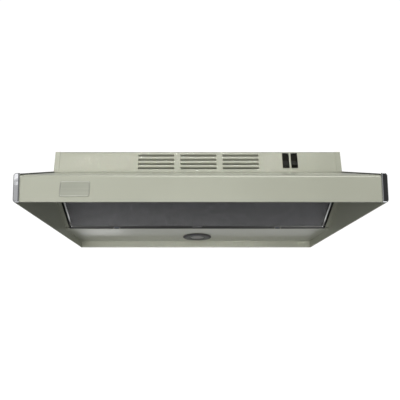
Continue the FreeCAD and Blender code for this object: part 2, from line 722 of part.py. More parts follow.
def filter_pieces():
    """An aluminium channel frame round two metal meshes with a charcoal pad between them."""
    frame = new_body("frame")
    pad(frame, "XY_Plane", [rectangle(-filter_half, filter_half, 0, filter_length)], length=filter_thickness)
    window_half = filter_half - frame_lip
    pocket(frame, "XY_Plane", [rectangle(-window_half, window_half, frame_lip, filter_length - frame_lip)])
    hollow_half = filter_half - frame_wall
    pocket(frame, "XY_Plane", [rectangle(-hollow_half, hollow_half, frame_wall, filter_length - frame_wall)],
           offset=frame_wall, length=filter_thickness - frame_wall * 2, reverse=True)
    filter_piece(frame, "filter_frame")
    layer_half = hollow_half - small_gap
    edge = frame_wall + small_gap
    levels = [frame_wall, frame_wall + mesh_layer, filter_thickness - frame_wall - mesh_layer,
              filter_thickness - frame_wall]
    for i, label in enumerate(("filter_mesh", "charcoal_pad", "backing_mesh")):
        layer = new_body("layer%d" % i)
        pad(layer, "XY_Plane", [rectangle(-layer_half, layer_half, edge, filter_length - edge)],
            offset=levels[i], length=levels[i + 1] - levels[i])
        filter_piece(layer, label)
    tab = new_body("tab")
    root_y = filter_length - frame_lip + 0.4
    tab_end = filter_length - 0.4
    grip = [(root_y, 0), (tab_end, 0), (tab_end, -0.8), (root_y + 0.8, -0.8),
            (root_y + 0.8, -2.6), (root_y, -2.6)]
    pad(tab, "YZ_Plane", [grip], length=26, symmetric=True)
    filter_piece(tab, "filter_pull_tab")
    pins = [rod("pin_left", -filter_half - pivot_pin_length, pivot_y, pivot_z, pivot_pin, pivot_pin_length, "x"),
            rod("pin_right", filter_half, pivot_y, pivot_z, pivot_pin, pivot_pin_length, "x")]
    group("pins", "filter_hinge_pins", pins)


def pivot_bearing(label, side):
    """A nylon block on the side panel that a filter pin turns in."""
    length = inner - filter_half - small_gap * 2
    start = filter_half + small_gap * 2
    reach = pivot_pin_length + 1
    if side > 0:
        outside = rod(label + "_outside", start, pivot_y, pivot_z, pivot_block, length, "x")
        bore = rod(label + "_bore", start, pivot_y, pivot_z, pivot_bore, reach, "x")
    else:
        outside = rod(label + "_outside", -inner, pivot_y, pivot_z, pivot_block, length, "x")
        bore = rod(label + "_bore", -(start + reach), pivot_y, pivot_z, pivot_bore, reach, "x")
    node(minus(label + "_block", outside, bore), label)


def filter_rail(label, side):
    """An angle along the side wall that closes the gap above the filter's edge."""
    body = new_body(label)
    seat = filter_thickness + small_gap
    lip = (filter_half - rail_cover) * side
    wall = inner * side
    section = [(lip, seat), (wall, seat), (wall, seat + rail_leg), (wall - metal * side, seat + rail_leg),
               (wall - metal * side, seat + metal), (lip, seat + metal)]
    start = pivot_inset + rail_start
    pad(body, "XZ_Plane", [section], offset=-start, length=filter_length - start, reverse=True)
    filter_piece(body, label)


def filter_guide(label, side):
    """An angle on the side wall that narrows the gap beside the filter."""
    body = new_body(label)
    wall = inner * side
    section = [((inner - guide_width) * side, 0), (wall, 0), (wall, filter_thickness - small_gap),
               ((inner - metal) * side, filter_thickness - small_gap), ((inner - metal) * side, metal),
               ((inner - guide_width) * side, metal)]
    start = pivot_inset + rail_start
    pad(body, "XZ_Plane", [section], offset=-start, length=filter_length - start, reverse=True)
    filter_piece(body, label)


def filter_gasket():
    """Black foam strips on the tray's front flange, between and beside the catches."""
    strips = []
    clear = catch_width / 2 + 3
    end = inner - guide_width - small_gap
    runs = ((-end, -catch_x - clear), (-catch_x + clear, catch_x - clear), (catch_x + clear, end))
    for i, (left, right) in enumerate(runs):
        strip = new_body("foam%d" % i)
        pad(strip, "XY_Plane", [rectangle(left, right, filter_length + gasket_gap, filter_length + filter_end_gap)],
            offset=metal * 0.8, length=filter_thickness - 2)
        lay_on_filter(strip)
        bind(strip, "Placement.Base.y", top_y)
        bind(strip, "Placement.Base.z", top_z)
        strips.append(strip)
    group("foam_strips", "filter_gasket", strips)


def filter_catches():
    """Two sprung leaves on the tray's front flange that press on the filter's lower edge."""
    leaves = []
    for i, side in enumerate((-1, 1)):
        leaf = new_body("leaf%d" % i)
        face = filter_length + filter_end_gap
        nose = filter_length + small_gap
        profile = [(face, 0.5), (face, lamp_flange - 2), (face - 0.5, lamp_flange - 2), (face - 0.5, 9),
                   (nose, 6), (nose, 4.5), (face - 0.5, 1.5), (face - 0.5, 0.5)]
        pad(leaf, "YZ_Plane", [profile], offset=catch_x * side, length=catch_width, symmetric=True)
        lay_on_filter(leaf)
        bind(leaf, "Placement.Base.y", top_y)
        bind(leaf, "Placement.Base.z", top_z)
        leaves.append(leaf)
    group("catches", "filter_catches", leaves)


def filter_top_channel():
    """A small angle under the deck that the filter's upper edge closes against."""
    body = new_body("channel")
    reach = (top_y + lean_sin * filter_thickness) * deck_cos + (top_z - band_height) * deck_sin
    start = reach - 26
    hang = 5
    profile = [deck_point(start, metal), deck_point(start + 12, metal), deck_point(start + 12, metal * 2),
               deck_point(start + metal, metal * 2), deck_point(start + metal, metal + hang),
               deck_point(start, metal + hang)]
    pad(body, "YZ_Plane", [profile], length=(inner - 1) * 2, symmetric=True)
    node(body, "filter_top_channel")


# ---------------------------------------------------------------------------------------------
# Fan plate, motor and fan
# ---------------------------------------------------------------------------------------------
def fan_plate():
    """The divider above the filter: a sheet with a collared hole that the fan turns in."""
    body = new_body("divider")
    front_y = (plate_top - band_height + deck_drop) / deck_grade
    inner_y = (plate_z - band_height + deck_drop * 2) / deck_grade
    lip = weld_flange - 2
    profile = [(front_y, plate_top), (front_y - deck_cos * lip, plate_top - deck_sin * lip),
               (inner_y - deck_cos * lip, plate_z - deck_sin * lip), (inner_y, plate_z),
               (back_face, plate_z), (back_face, plate_z + weld_flange),
               (back_face - metal, plate_z + weld_flange), (back_face - metal, plate_top)]
    pad(body, "YZ_Plane", [profile], length=inner * 2, symmetric=True)
    start = fascia_y + weld_flange
    sides = [rectangle(inner * side, (inner - metal) * side, plate_z, plate_z + weld_flange) for side in (-1, 1)]
    pad(body, "XZ_Plane", sides, offset=-start, length=back_face - metal - start, reverse=True)
    pad(body, "XY_Plane", rings=[(0, fan_y, collar_radius)], offset=plate_z, length=collar_height)
    pocket(body, "XY_Plane", rings=[(0, fan_y, orifice_radius)])
    feet = [(x * foot_x(), fan_y + y * 14, screw_hole) for x in (-1, 1) for y in (-1, 1)]
    pocket(body, "XY_Plane", rings=feet + [(grommet_x, inlet_y, lead_radius + 3)])
    node(body, "fan_plate")


def foot_x():
    """Distance of the bracket's foot screws from the fan's axis."""
    return collar_radius + bracket_foot / 2 + 11


def motor_bracket():
    """A strap bridging the collar; the motor hangs under it."""
    body = new_body("strap")
    leg = collar_radius + 9
    foot = leg + bracket_foot
    low, high, thick = plate_top, can_top, bracket_metal
    profile = [(-foot, low), (thick - leg, low), (thick - leg, high), (leg - thick, high), (leg - thick, low),
               (foot, low), (foot, low + thick), (leg, low + thick), (leg, high + thick), (-leg, high + thick),
               (-leg, low + thick), (-foot, low + thick)]
    pad(body, "XZ_Plane", [profile], offset=-fan_y, length=bracket_width, symmetric=True)
    holes = [(0, fan_y, 10), (-24, fan_y, screw_hole), (24, fan_y, screw_hole)]
    feet = [(x * foot_x(), fan_y + y * 14, screw_hole) for x in (-1, 1) for y in (-1, 1)]
    pocket(body, "XY_Plane", rings=holes + feet)
    node(body, "motor_bracket")


def motor():
    """Can, end plate, stator and bushes that stand still; rotor and shaft that turn."""
    bush = shaft_radius + 3
    can = new_body("motor_cup")
    turned(can, [(bush, can_bottom), (motor_radius, can_bottom), (motor_radius, can_top - 1.5),
                 (motor_radius - motor_wall, can_top - 1.5), (motor_radius - motor_wall, can_bottom + motor_wall),
                 (bush, can_bottom + motor_wall)])
    node(can, "motor_can", y=fan_y)
    plate = new_body("end_plate")
    pad(plate, "XY_Plane", rings=[(0, 0, motor_radius), (0, 0, bush), (-24, 0, screw_hole), (24, 0, screw_hole)],
        offset=can_top - 1.5, length=1.5)
    node(plate, "motor_end_plate", y=fan_y)
    core_low = can_bottom + 7
    core_high = can_top - 8
    stator_bore = motor_radius * 0.6
    stator = ring("stator", 0, fan_y, core_low, motor_radius - motor_wall, stator_bore, core_high - core_low)
    node(stator, "stator_core")
    bore = shaft_radius + bearing_gap
    bushes = [ring("low_bush", 0, fan_y, can_bottom, bush, bore, 5),
              ring("high_bush", 0, fan_y, can_top - 5, bush, bore, 5)]
    group("bushes", "motor_bushes", bushes)
    rotor = ring("rotor_iron", 0, fan_y, core_low, stator_bore - 0.5, shaft_radius, core_high - core_low)
    node(rotor, "rotor")
    shaft_bottom = hub_bottom - 6
    shaft = new_body("spindle")
    pad(shaft, "XY_Plane", rings=[(0, 0, shaft_radius)], offset=shaft_bottom, length=can_top - shaft_bottom)
    node(shaft, "motor_shaft", y=fan_y)


def screw(name, x, y, head_z, length, head_radius=4.0, head_height=2.4):
    """A pan-head screw pointing down, its head resting at a given level."""
    return fused(name, [rod(name + "_head", x, y, head_z, head_radius, head_height),
                        rod(name + "_shank", x, y, size(head_z) - length, screw_radius, length)])


def motor_fixings():
    motor_screws = [screw("motor_screw%d" % i, x, fan_y, bracket_top, 6) for i, x in enumerate((-24, 24))]
    group("motor_screw_set", "motor_screws", motor_screws)
    spots = [(x * foot_x(), fan_y + y * 14) for x in (-1, 1) for y in (-1, 1)]
    foot_screws = [screw("foot_screw%d" % i, x, y, plate_top + bracket_metal, 7) for i, (x, y) in enumerate(spots)]
    group("foot_screw_set", "bracket_screws", foot_screws)


def fan_wheel():
    """An axial fan: a hub with pitched blades trimmed to the orifice, held by a nut."""
    blades = []
    for i in range(BLADES):
        blade = doc.addObject("Part::Box", "blade%d" % i)
        bind(blade, "Length", fan_radius + 6)
        bind(blade, "Width", blade_chord)
        bind(blade, "Height", blade_metal)
        tilt = FreeCAD.Rotation(Vector(1, 0, 0), blade_pitch.value)
        turn = FreeCAD.Rotation(Vector(0, 0, 1), 360.0 * i / BLADES)
        corner = Vector(0, -blade_chord.value / 2, -blade_metal.value / 2)
        centre = Vector(0, fan_y.value, (hub_bottom + hub_height / 2).value)
        blade.Placement = FreeCAD.Placement(centre + turn.multVec(tilt.multVec(corner)), turn.multiply(tilt))
        blades.append(blade)
    hub = rod("hub", 0, fan_y, hub_bottom, hub_radius, hub_height)
    wheel = fused("wheel", blades + [hub])
    trim = ring("trim", 0, fan_y, plate_z - 40, fan_radius, shaft_radius, 80)
    trimmed = doc.addObject("Part::Common", "trimmed_wheel")
    trimmed.Base = wheel
    trimmed.Tool = trim
    node(trimmed, "fan_wheel")
    nut = doc.addObject("Part::Prism", "nut")
    nut.Polygon = 6
    nut.Circumradius = 7.5
    nut.Height = 5
    bind(nut, "Placement.Base.y", fan_y)
    bind(nut, "Placement.Base.z", hub_bottom - 5)
    node(minus("fan_nut_bored", nut, rod("nut_bore", 0, fan_y, hub_bottom - 6, shaft_radius, 8)), "fan_nut")


# ---------------------------------------------------------------------------------------------
# Rocker switches
# ---------------------------------------------------------------------------------------------
def switch(kind, x, rest_tilt):
    """A snap-in housing with brass tabs and a rocker on two trunnions."""
    housing = new_body("housing_" + kind)
    window_half = rocker_width / 2 + rocker_gap
    window_high = rocker_height / 2 + rocker_end_gap
    body_half = window_half + switch_wall
    body_high = bezel_height / 2 - 1.5
    pad(housing, "XZ_Plane", [rectangle(bezel_width / -2, bezel_width / 2, bezel_height / -2, bezel_height / 2)],
        length=bezel_proud)
    pad(housing, "XZ_Plane", [rectangle(-body_half, body_half, -body_high, body_high)],
        length=switch_depth, reverse=True)
    pocket(housing, "XZ_Plane", [rectangle(-window_half, window_half, -window_high, window_high)],
           offset=bezel_proud, length=bezel_proud + 15)
    pivot = size(4)
    pocket(housing, "YZ_Plane", rings=[(pivot, 0, rocker_pin_hole)])
    node(housing, "switch_housing_" + kind, x=x, y=fascia_y, z=switch_z)
    tabs = []
    for i, level in enumerate((-11, 0, 11)):
        tabs.append(block("%s_tab%d" % (kind, i), x - 0.4, x + 0.4, fascia_y + switch_depth,
                          fascia_y + switch_depth + 8, switch_z + level - 3.15, switch_z + level + 3.15))
    group("tabs_" + kind, "switch_tabs_" + kind, tabs)
    rocker = new_body("rocker_body_" + kind)
    tall = rocker_height / 2
    face = pivot + bezel_proud + 0.8
    profile = [(-face, -tall), (-face, -tall + 2), (1.2 - pivot, 0), (-face, tall - 2), (-face, tall),
               (2, tall), (5, tall - 8), (5, 8 - tall), (2, -tall)]
    pad(rocker, "YZ_Plane", [profile], length=rocker_width, symmetric=True)
    pad(rocker, "YZ_Plane", rings=[(0, 0, rocker_pin)], length=rocker_width + 1.6, symmetric=True)
    rocker.Placement = FreeCAD.Placement(Vector(0, 0, 0), FreeCAD.Rotation(Vector(1, 0, 0), rest_tilt.value))
    bind(rocker, "Placement.Rotation.Angle", rest_tilt)
    node(rocker, "rocker_" + kind, x=x, y=fascia_y + pivot, z=switch_z)


# ---------------------------------------------------------------------------------------------
# Wiring and badge
# ---------------------------------------------------------------------------------------------
def wiring():
    """The junction box under the top panel, its terminal block and the cable bushing."""
    ceiling = shell_height - metal
    floor = ceiling - wiring_box_height
    left = inlet_x - wiring_box_width / 2
    right = inlet_x + wiring_box_width / 2
    front = inlet_y - 38
    rear = back_face - metal
    shell = block("box_outside", left, right, front, rear, floor, ceiling)
    hollow = block("box_inside", left + metal, right - metal, front + metal, rear - metal, floor + metal, ceiling)
    port = lead_radius + 0.5
    ports = [rod("port_motor", left - 2, inlet_y, ceiling - 20, port, 6, "x"),
             rod("port_switch", inlet_x - 10, front - 2, ceiling - 20, port, 6, "y"),
             rod("port_lamp", grommet_x, inlet_y, floor - 2, port, 6)]
    node(minus("box_open", shell, fused("box_voids", [hollow] + ports)), "wiring_box")
    node(fused("terminal_strip", [block("strip_base", inlet_x - 28, inlet_x + 14, inlet_y - 34, inlet_y - 18,
                                        floor + metal, floor + metal + 12),
                                  block("strip_rib", inlet_x - 28, inlet_x + 14, inlet_y - 28, inlet_y - 24,
                                        floor + metal, floor + metal + 16)]), "terminal_block")
    bushing = new_body("bushing")
    low = shell_height - inlet_length
    turned(bushing, [(inlet_bore, low), (inlet_hole + 2.5, low), (inlet_hole + 2.5, ceiling),
                     (inlet_hole, ceiling), (inlet_hole, shell_height), (inlet_bore, shell_height)])
    node(bushing, "cable_bushing", x=inlet_x, y=inlet_y)
    grommet = new_body("grommet")
    hole = lead_radius + 3
    turned(grommet, [(lead_radius + 0.2, plate_z - 1.5), (hole + 2, plate_z - 1.5), (hole + 2, plate_z),
                     (hole, plate_z), (hole, plate_top), (hole + 2, plate_top), (hole + 2, plate_top + 1.5),
                     (lead_radius + 0.2, plate_top + 1.5)])
    node(grommet, "lead_grommet", x=grommet_x, y=inlet_y)
    leads(floor, ceiling, left, front)


def lead(label, route):
    """An insulated lead: straight runs joined by arcs tangent to them."""
    points = [Vector(size(x).value, size(y).value, size(z).value) for x, y, z in route]
    edges = []
    radii = []
    start = points[0]
    for i in range(1, len(points) - 1):
        before, here, after = points[i - 1], points[i], points[i + 1]
        into, out = (here - before).normalize(), (after - here).normalize()
        turn = math.acos(max(-1.0, min(1.0, into.dot(out))))
        setback = 0.45 * min((here - before).Length, (after - here).Length)
        radius = setback / math.tan(turn / 2)
        radii.append(radius)
        first, last = here - into * setback, here + out * setback
        inward = (out - into).normalize()
        middle = here + inward * (radius / math.cos(turn / 2) - radius)
        edges.append(Part.LineSegment(start, first).toShape())
        edges.append(Part.Arc(first, middle, last).toShape())
        start = last
    edges.append(Part.LineSegment(start, points[-1]).toShape())
    path = Part.Wire(edges)
    section = Part.Wire(Part.makeCircle(lead_radius.value, points[0], points[1] - points[0]))
    tube = path.makePipeShell([section], True, False)
    expected = math.pi * lead_radius.value ** 2 * path.Length
    if abs(tube.Volume - expected) > 0.01 * expected:
        raise ValueError("%s: the tube's volume doesn't match its length" % label)
    print("%s: length %.0f mm, bend radii %s" % (label, path.Length, ", ".join("%.0f" % r for r in radii)))
    made = doc.addObject("Part::Feature", label)
    made.Shape = tube
    node(made, label)


def leads(floor, ceiling, left, front):
    """Three leads, each lying in its port at one end and meeting its device at the other."""
    motor_level = can_top - 18
    lead("lead_motor", [(left + 4, inlet_y, ceiling - 20), (left - 30, inlet_y, ceiling - 20),
                        (left - 80, inlet_y - 6, ceiling - 26), (collar_radius + 40, fan_y + 98, motor_level + 4),
                        (motor_radius + 32, fan_y + 92, motor_level), (16, fan_y + 76, motor_level),
                        (0, fan_y + motor_radius + 22, motor_level), (0, fan_y + motor_radius, motor_level)])
    switch_back = fascia_y + switch_depth
    lead("lead_switches", [(inlet_x - 10, front + 4, ceiling - 20), (inlet_x - 10, front - 26, ceiling - 20),
                           (inlet_x - 22, front - 66, ceiling - 22), (inlet_x - 40, front - 108, ceiling - 26),
                           (switch_x + switch_pitch + 6, switch_back + 34, switch_z - 3),
                           (switch_x + switch_pitch + 4, switch_back + 14, switch_z - 5),
                           (switch_x + switch_pitch + 4, switch_back, switch_z - 5)])
    side = lamp_can_radius + lamp_x
    lead("lead_lamp", [(grommet_x, inlet_y, floor + 4), (grommet_x, inlet_y, plate_z - 24),
                       (grommet_x - 4, inlet_y - 2, lamp_level + 52), (grommet_x - 40, inlet_y - 6, lamp_level + 20),
                       (grommet_x - 96, inlet_y - 8, lamp_level + 8), (grommet_x - 160, inlet_y - 12, lamp_level + 6),
                       (side + 96, lamp_y + 10, lamp_level + 8), (side + 46, lamp_y + 3, lamp_level + 16),
                       (side + 16, lamp_y, lamp_level + 26), (side, lamp_y, lamp_level + 26)])


def badge():
    """A blank raised plate on the band where a maker would put a mark."""
    body = new_body("plate")
    width = drive("badge_width", 62)
    tall = drive("badge_height", 34)
    from_end = drive("badge_centre_from_side", 121)
    middle = drive("badge_centre_level", 28)
    thick = drive("badge_thickness", 0.8)
    outline = rectangle(from_end - half - width / 2, from_end - half + width / 2,
                        middle - tall / 2, middle + tall / 2)
    pad(body, "XZ_Plane", [outline], length=thick)

    def corners(edge):
        a, b = edge.Vertexes[0].Point, edge.Vertexes[-1].Point
        return abs(a.x - b.x) < 1e-4 and abs(a.z - b.z) < 1e-4

    round_edges(body, 5, corners)
    node(body, "blank_badge")


# ---------------------------------------------------------------------------------------------
# Build, check and write
# ---------------------------------------------------------------------------------------------
for side_name, direction in (("left", -1), ("right", 1)):
    side_panel("side_panel_" + side_name, direction)
    end_cap("end_cap_" + side_name, direction)
    edge_trim("edge_trim_" + side_name, direction)
    pivot_bearing("filter_pivot_" + side_name, direction)
    filter_rail("filter_rail_" + side_name, direction)
    filter_guide("filter_guide_" + side_name, direction)
front_band()
sloped_deck()
upper_fascia()
top_panel()
back_panel()
lamp_panel()
lamp_pieces()
filter_pieces()
filter_catches()
filter_gasket()
filter_top_channel()
fan_plate()
motor_bracket()
motor()
motor_fixings()
fan_wheel()
switch("fan", switch_x, size(0))
switch("light", switch_x + switch_pitch, -rocker_tilt)
wiring()
badge()
doc.recompute()

for thing in doc.Objects:
    if "Invalid" in thing.State or "Error" in thing.State:
        raise ValueError("%s (%s) failed: %s" % (thing.Name, thing.Label, thing.State))
for piece in nodes:
    if piece.Shape.isNull() or not piece.Shape.isValid() or not piece.Shape.Solids:
        raise ValueError("%s has no valid solid" % piece.Label)
os.makedirs("parts", exist_ok=True)
for piece in nodes:
    piece.Shape.exportStep("parts/%s.step" % piece.Label)
print("%d nodes, slots centred %.1f mm behind the band" % (len(nodes), slot_middle.value))
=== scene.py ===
import bpy
import json
import math
from mathutils import Matrix, Vector

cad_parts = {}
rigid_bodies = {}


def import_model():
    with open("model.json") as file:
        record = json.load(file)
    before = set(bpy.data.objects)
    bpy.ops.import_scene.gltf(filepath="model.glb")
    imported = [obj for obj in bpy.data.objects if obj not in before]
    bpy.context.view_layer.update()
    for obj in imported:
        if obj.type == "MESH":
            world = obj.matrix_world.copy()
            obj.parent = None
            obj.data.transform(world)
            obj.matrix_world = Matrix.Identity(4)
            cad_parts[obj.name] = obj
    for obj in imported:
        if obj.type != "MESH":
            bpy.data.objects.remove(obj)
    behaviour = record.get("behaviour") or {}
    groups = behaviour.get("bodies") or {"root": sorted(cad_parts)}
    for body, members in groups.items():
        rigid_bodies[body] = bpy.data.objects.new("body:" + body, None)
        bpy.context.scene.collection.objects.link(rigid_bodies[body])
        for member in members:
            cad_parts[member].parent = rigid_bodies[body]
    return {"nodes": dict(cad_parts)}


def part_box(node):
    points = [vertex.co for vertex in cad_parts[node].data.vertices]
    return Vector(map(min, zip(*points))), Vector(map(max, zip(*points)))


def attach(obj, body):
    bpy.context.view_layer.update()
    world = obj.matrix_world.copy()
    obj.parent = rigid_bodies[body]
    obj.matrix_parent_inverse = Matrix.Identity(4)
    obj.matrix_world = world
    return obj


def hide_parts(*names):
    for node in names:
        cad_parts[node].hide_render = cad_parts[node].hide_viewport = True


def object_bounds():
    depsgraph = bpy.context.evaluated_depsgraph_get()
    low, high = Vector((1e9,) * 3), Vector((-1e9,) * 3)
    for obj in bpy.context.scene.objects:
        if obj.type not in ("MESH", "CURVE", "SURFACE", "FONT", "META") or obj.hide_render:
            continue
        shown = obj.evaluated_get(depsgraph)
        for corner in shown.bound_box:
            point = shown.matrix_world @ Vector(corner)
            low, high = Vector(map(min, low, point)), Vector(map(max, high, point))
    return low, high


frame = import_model()
nodes = frame["nodes"]
cad_low, cad_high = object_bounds()

# ---------------------------------------------------------------------------------------------
# The studio: a white sweep; soft boxes in front, above and on the left; low ones behind that rake
# the tray, and two below that only bare metal reflects; gridded strips for the upper face and the
# rear strip; cards that only reflections see; a camera a little below the rim that looks up.
# ---------------------------------------------------------------------------------------------
scene = bpy.context.scene
scene.view_settings.view_transform = "Standard"

camera_data = bpy.data.cameras.new("camera")
camera_data.sensor_width = 36.0
camera_data.lens = 30.42
camera_data.shift_x = 0.029
camera_data.shift_y = 0.095
camera = bpy.data.objects.new("camera", camera_data)
camera.location = (-0.0248, -0.9556, -0.4322)
camera.rotation_euler = (math.radians(90 + 13.52), 0, 0)
scene.collection.objects.link(camera)
scene.camera = camera


def soft_box(name, place, aim, width, height, watts, tint=(1, 1, 1)):
    """A rectangular light that faces a point."""
    data = bpy.data.lights.new(name, "AREA")
    data.shape = "RECTANGLE"
    data.size = width
    data.size_y = height
    data.energy = watts
    data.color = tint
    lamp = bpy.data.objects.new(name, data)
    lamp.location = place
    lamp.rotation_euler = (Vector(aim) - Vector(place)).to_track_quat("-Z", "Y").to_euler()
    scene.collection.objects.link(lamp)
    return lamp


soft_box("soft_box_front", (-0.35, -2.6, -0.85), (0, 0, -0.1), 2.2, 1.5, 51, (1.0, 0.995, 0.98))
soft_box("soft_box_above", (0.5, -1.5, 2.0), (0, 0, -0.05), 2.4, 1.4, 45.5)
soft_box("soft_box_left", (-2.4, -0.6, 0.5), (-0.3, 0, -0.1), 1.0, 1.6, 14).visible_glossy = False
soft_box("soft_box_left_high", (-1.2, -1.7, 0.9), (-0.35, -0.15, -0.05), 0.9, 0.9, 8).visible_glossy = False
soft_box("soft_box_below_left", (-0.65, 1.49, -0.54), (-0.28, 0.05, -0.18), 0.26, 0.2, 0.28)
soft_box("soft_box_below", (0.05, 1.49, -0.54), (0, 0.05, -0.18), 2.2, 0.3, 1.6)
for side, way, watts in (("right", 1, 6.5), ("left", -1, 4.5)):
    place, aim = (way * 0.9, -0.1, -1.3), (way * 0.3, -0.1, -0.13)
    soft_box("soft_box_under_" + side, place, aim, 0.7, 0.8, watts).visible_diffuse = False

# a grid over a strip light keeps it on one face of the hood
gridded = [soft_box("grid_light_rear_strip", (0.03, -1.2, -0.75), (0.03, 0.13, -0.19), 0.62, 0.06, 0.05)]
fascia_strips = (("left", -0.28, 0.14, 0.026), ("middle", -0.02, 0.34, 0.021), ("right", 0.2, 0.16, 0.02))
for part, x, width, watts in fascia_strips:
    name = "grid_light_fascia_" + part
    gridded.append(soft_box(name, (x, -1.6, 0.6), (x, -0.13, -0.02), width, 0.05, watts))
for lamp in gridded:
    lamp.data.spread = math.radians(8)
    lamp.visible_glossy = False
for lamp in bpy.data.objects:
    if lamp.type == "LIGHT":
        lamp.visible_camera = False


def card(name, left, right, low, high, glow):
    """An upright card between two points of the floor plan that only reflections see."""
    corners = [(*left, low), (*right, low), (*right, high), (*left, high)]
    mesh = bpy.data.meshes.new(name)
    mesh.from_pydata(corners, [], [(0, 1, 2, 3)])
    made = bpy.data.objects.new(name, mesh)
    scene.collection.objects.link(made)
    face = bpy.data.materials.new(name)
    face.use_nodes = True
    surface = face.node_tree.nodes["Principled BSDF"]
    surface.inputs["Base Color"].default_value = (0.01, 0.01, 0.01, 1)
    surface.inputs["Emission Color"].default_value = (1, 1, 1, 1)
    surface.inputs["Emission Strength"].default_value = glow
    mesh.materials.append(face)
    for ray in ("visible_camera", "visible_diffuse", "visible_shadow", "visible_transmission"):
        setattr(made, ray, False)


card("white_card_left", (-2.3, -2.0), (-0.9, -2.7), -0.2, 2.0, 0.62)
card("bright_card_left", (-1.75, -2.28), (-1.35, -2.28), 0.69, 0.755, 1.7)
card("black_card_left", (-3.0, 1.5), (-2.4, -1.9), -1.0, 2.4, 0.03)
card("black_card_right", (0.9, -2.7), (2.4, -2.0), -0.9, 2.0, 0.035)
card("grey_card_far_right", (2.5, -1.9), (3.0, 1.5), -1.0, 2.4, 0.30)

studio_world = bpy.data.worlds.new("studio_world")
studio_world.use_nodes = True
scene.world = studio_world
world_tree = studio_world.node_tree
world_tree.nodes.clear()
seen_white = world_tree.nodes.new("ShaderNodeBackground")
seen_white.inputs["Color"].default_value = (1, 1, 1, 1)
seen_white.inputs["Strength"].default_value = 1.05
room_fill = world_tree.nodes.new("ShaderNodeBackground")
room_fill.inputs["Color"].default_value = (0.95, 0.97, 1.0, 1)
room_fill.inputs["Strength"].default_value = 0.30
ray_kind = world_tree.nodes.new("ShaderNodeLightPath")
world_mix = world_tree.nodes.new("ShaderNodeMixShader")
world_out = world_tree.nodes.new("ShaderNodeOutputWorld")
world_tree.links.new(ray_kind.outputs["Is Camera Ray"], world_mix.inputs["Fac"])
world_tree.links.new(room_fill.outputs["Background"], world_mix.inputs[1])
world_tree.links.new(seen_white.outputs["Background"], world_mix.inputs[2])
world_tree.links.new(world_mix.outputs["Shader"], world_out.inputs["Surface"])

floor_level = cad_low.z - 1.2
floor_mesh = bpy.data.meshes.new("studio_floor")
sweep = 30
floor_corners = [(x * sweep, y * sweep, floor_level) for x, y in ((-1, -1), (1, -1), (1, 1), (-1, 1))]
floor_mesh.from_pydata(floor_corners, [], [(0, 1, 2, 3)])
studio_floor = bpy.data.objects.new("studio_floor", floor_mesh)
scene.collection.objects.link(studio_floor)
floor_paint = bpy.data.materials.new("studio_floor_white")
floor_paint.use_nodes = True
floor_shader = floor_paint.node_tree.nodes["Principled BSDF"]
floor_shader.inputs["Base Color"].default_value = (0.8, 0.8, 0.8, 1)
floor_shader.inputs["Roughness"].default_value = 0.9
floor_shader.inputs["Emission Color"].default_value = (1, 1, 1, 1)
floor_shader.inputs["Emission Strength"].default_value = 0.9
floor_mesh.materials.append(floor_paint)
studio_floor.visible_diffuse = False
studio_floor.visible_glossy = False

# ---------------------------------------------------------------------------------------------
# Shell: folded steel sheet, spot-welded and sprayed a pale stone grey with a satin, faintly
# pebbled skin.  Ends, front band, sloped deck, louvred fascia, top, back, tray and divider.
# ---------------------------------------------------------------------------------------------


class Shade:
    """Short ways to add and wire nodes in one material, node group or Geometry Nodes tree."""

    def __init__(self, tree):
        self.tree = tree

    def node(self, kind, x=0, y=0, **settings):
        made = self.tree.nodes.new(kind)
        made.location = (x, y)
        for name, value in settings.items():
            setattr(made, name, value)
        return made

    def wire(self, source, target):
        self.tree.links.new(source, target)

    def math(self, operation, a, b=None, c=None):
        made = self.node("ShaderNodeMath", operation=operation)
        for i, value in enumerate((a, b, c)):
            if isinstance(value, bpy.types.NodeSocket):
                self.wire(value, made.inputs[i])
            elif value is not None:
                made.inputs[i].default_value = value
        return made.outputs[0]

    def noise(self, vector, scale, detail=3.0, roughness=0.5):
        made = self.node("ShaderNodeTexNoise")
        self.wire(vector, made.inputs["Vector"])
        made.inputs["Scale"].default_value = scale
        made.inputs["Detail"].default_value = detail
        made.inputs["Roughness"].default_value = roughness
        return made.outputs["Fac"]

    def stretch(self, vector, scale):
        made = self.node("ShaderNodeMapping")
        self.wire(vector, made.inputs["Vector"])
        made.inputs["Scale"].default_value = scale
        return made.outputs["Vector"]

    def remap(self, value, low, high, to_low, to_high):
        made = self.node("ShaderNodeMapRange")
        self.wire(value, made.inputs["Value"])
        for name, number in zip(("From Min", "From Max", "To Min", "To Max"), (low, high, to_low, to_high)):
            made.inputs[name].default_value = number
        return made.outputs["Result"]

    def blend(self, factor, first, second):
        made = self.node("ShaderNodeMix", data_type="RGBA")
        self.wire(factor, made.inputs["Factor"])
        for name, value in (("A", first), ("B", second)):
            socket = [item for item in made.inputs if item.name == name and item.type == "RGBA"][0]
            if isinstance(value, bpy.types.NodeSocket):
                self.wire(value, socket)
            else:
                socket.default_value = (*value, 1)
        return [item for item in made.outputs if item.type == "RGBA"][0]

    def bump(self, height, strength, distance, normal=None):
        made = self.node("ShaderNodeBump")
        self.wire(height, made.inputs["Height"])
        made.inputs["Strength"].default_value = strength
        made.inputs["Distance"].default_value = distance
        if normal is not None:
            self.wire(normal, made.inputs["Normal"])
        return made.outputs["Normal"]

    def group(self, tree, **values):
        made = self.node("ShaderNodeGroup")
        made.node_tree = tree
        for name, value in values.items():
            socket = made.inputs[name.replace("_", " ")]
            if isinstance(value, bpy.types.NodeSocket):
                self.wire(value, socket)
            else:
                socket.default_value = value
        return made


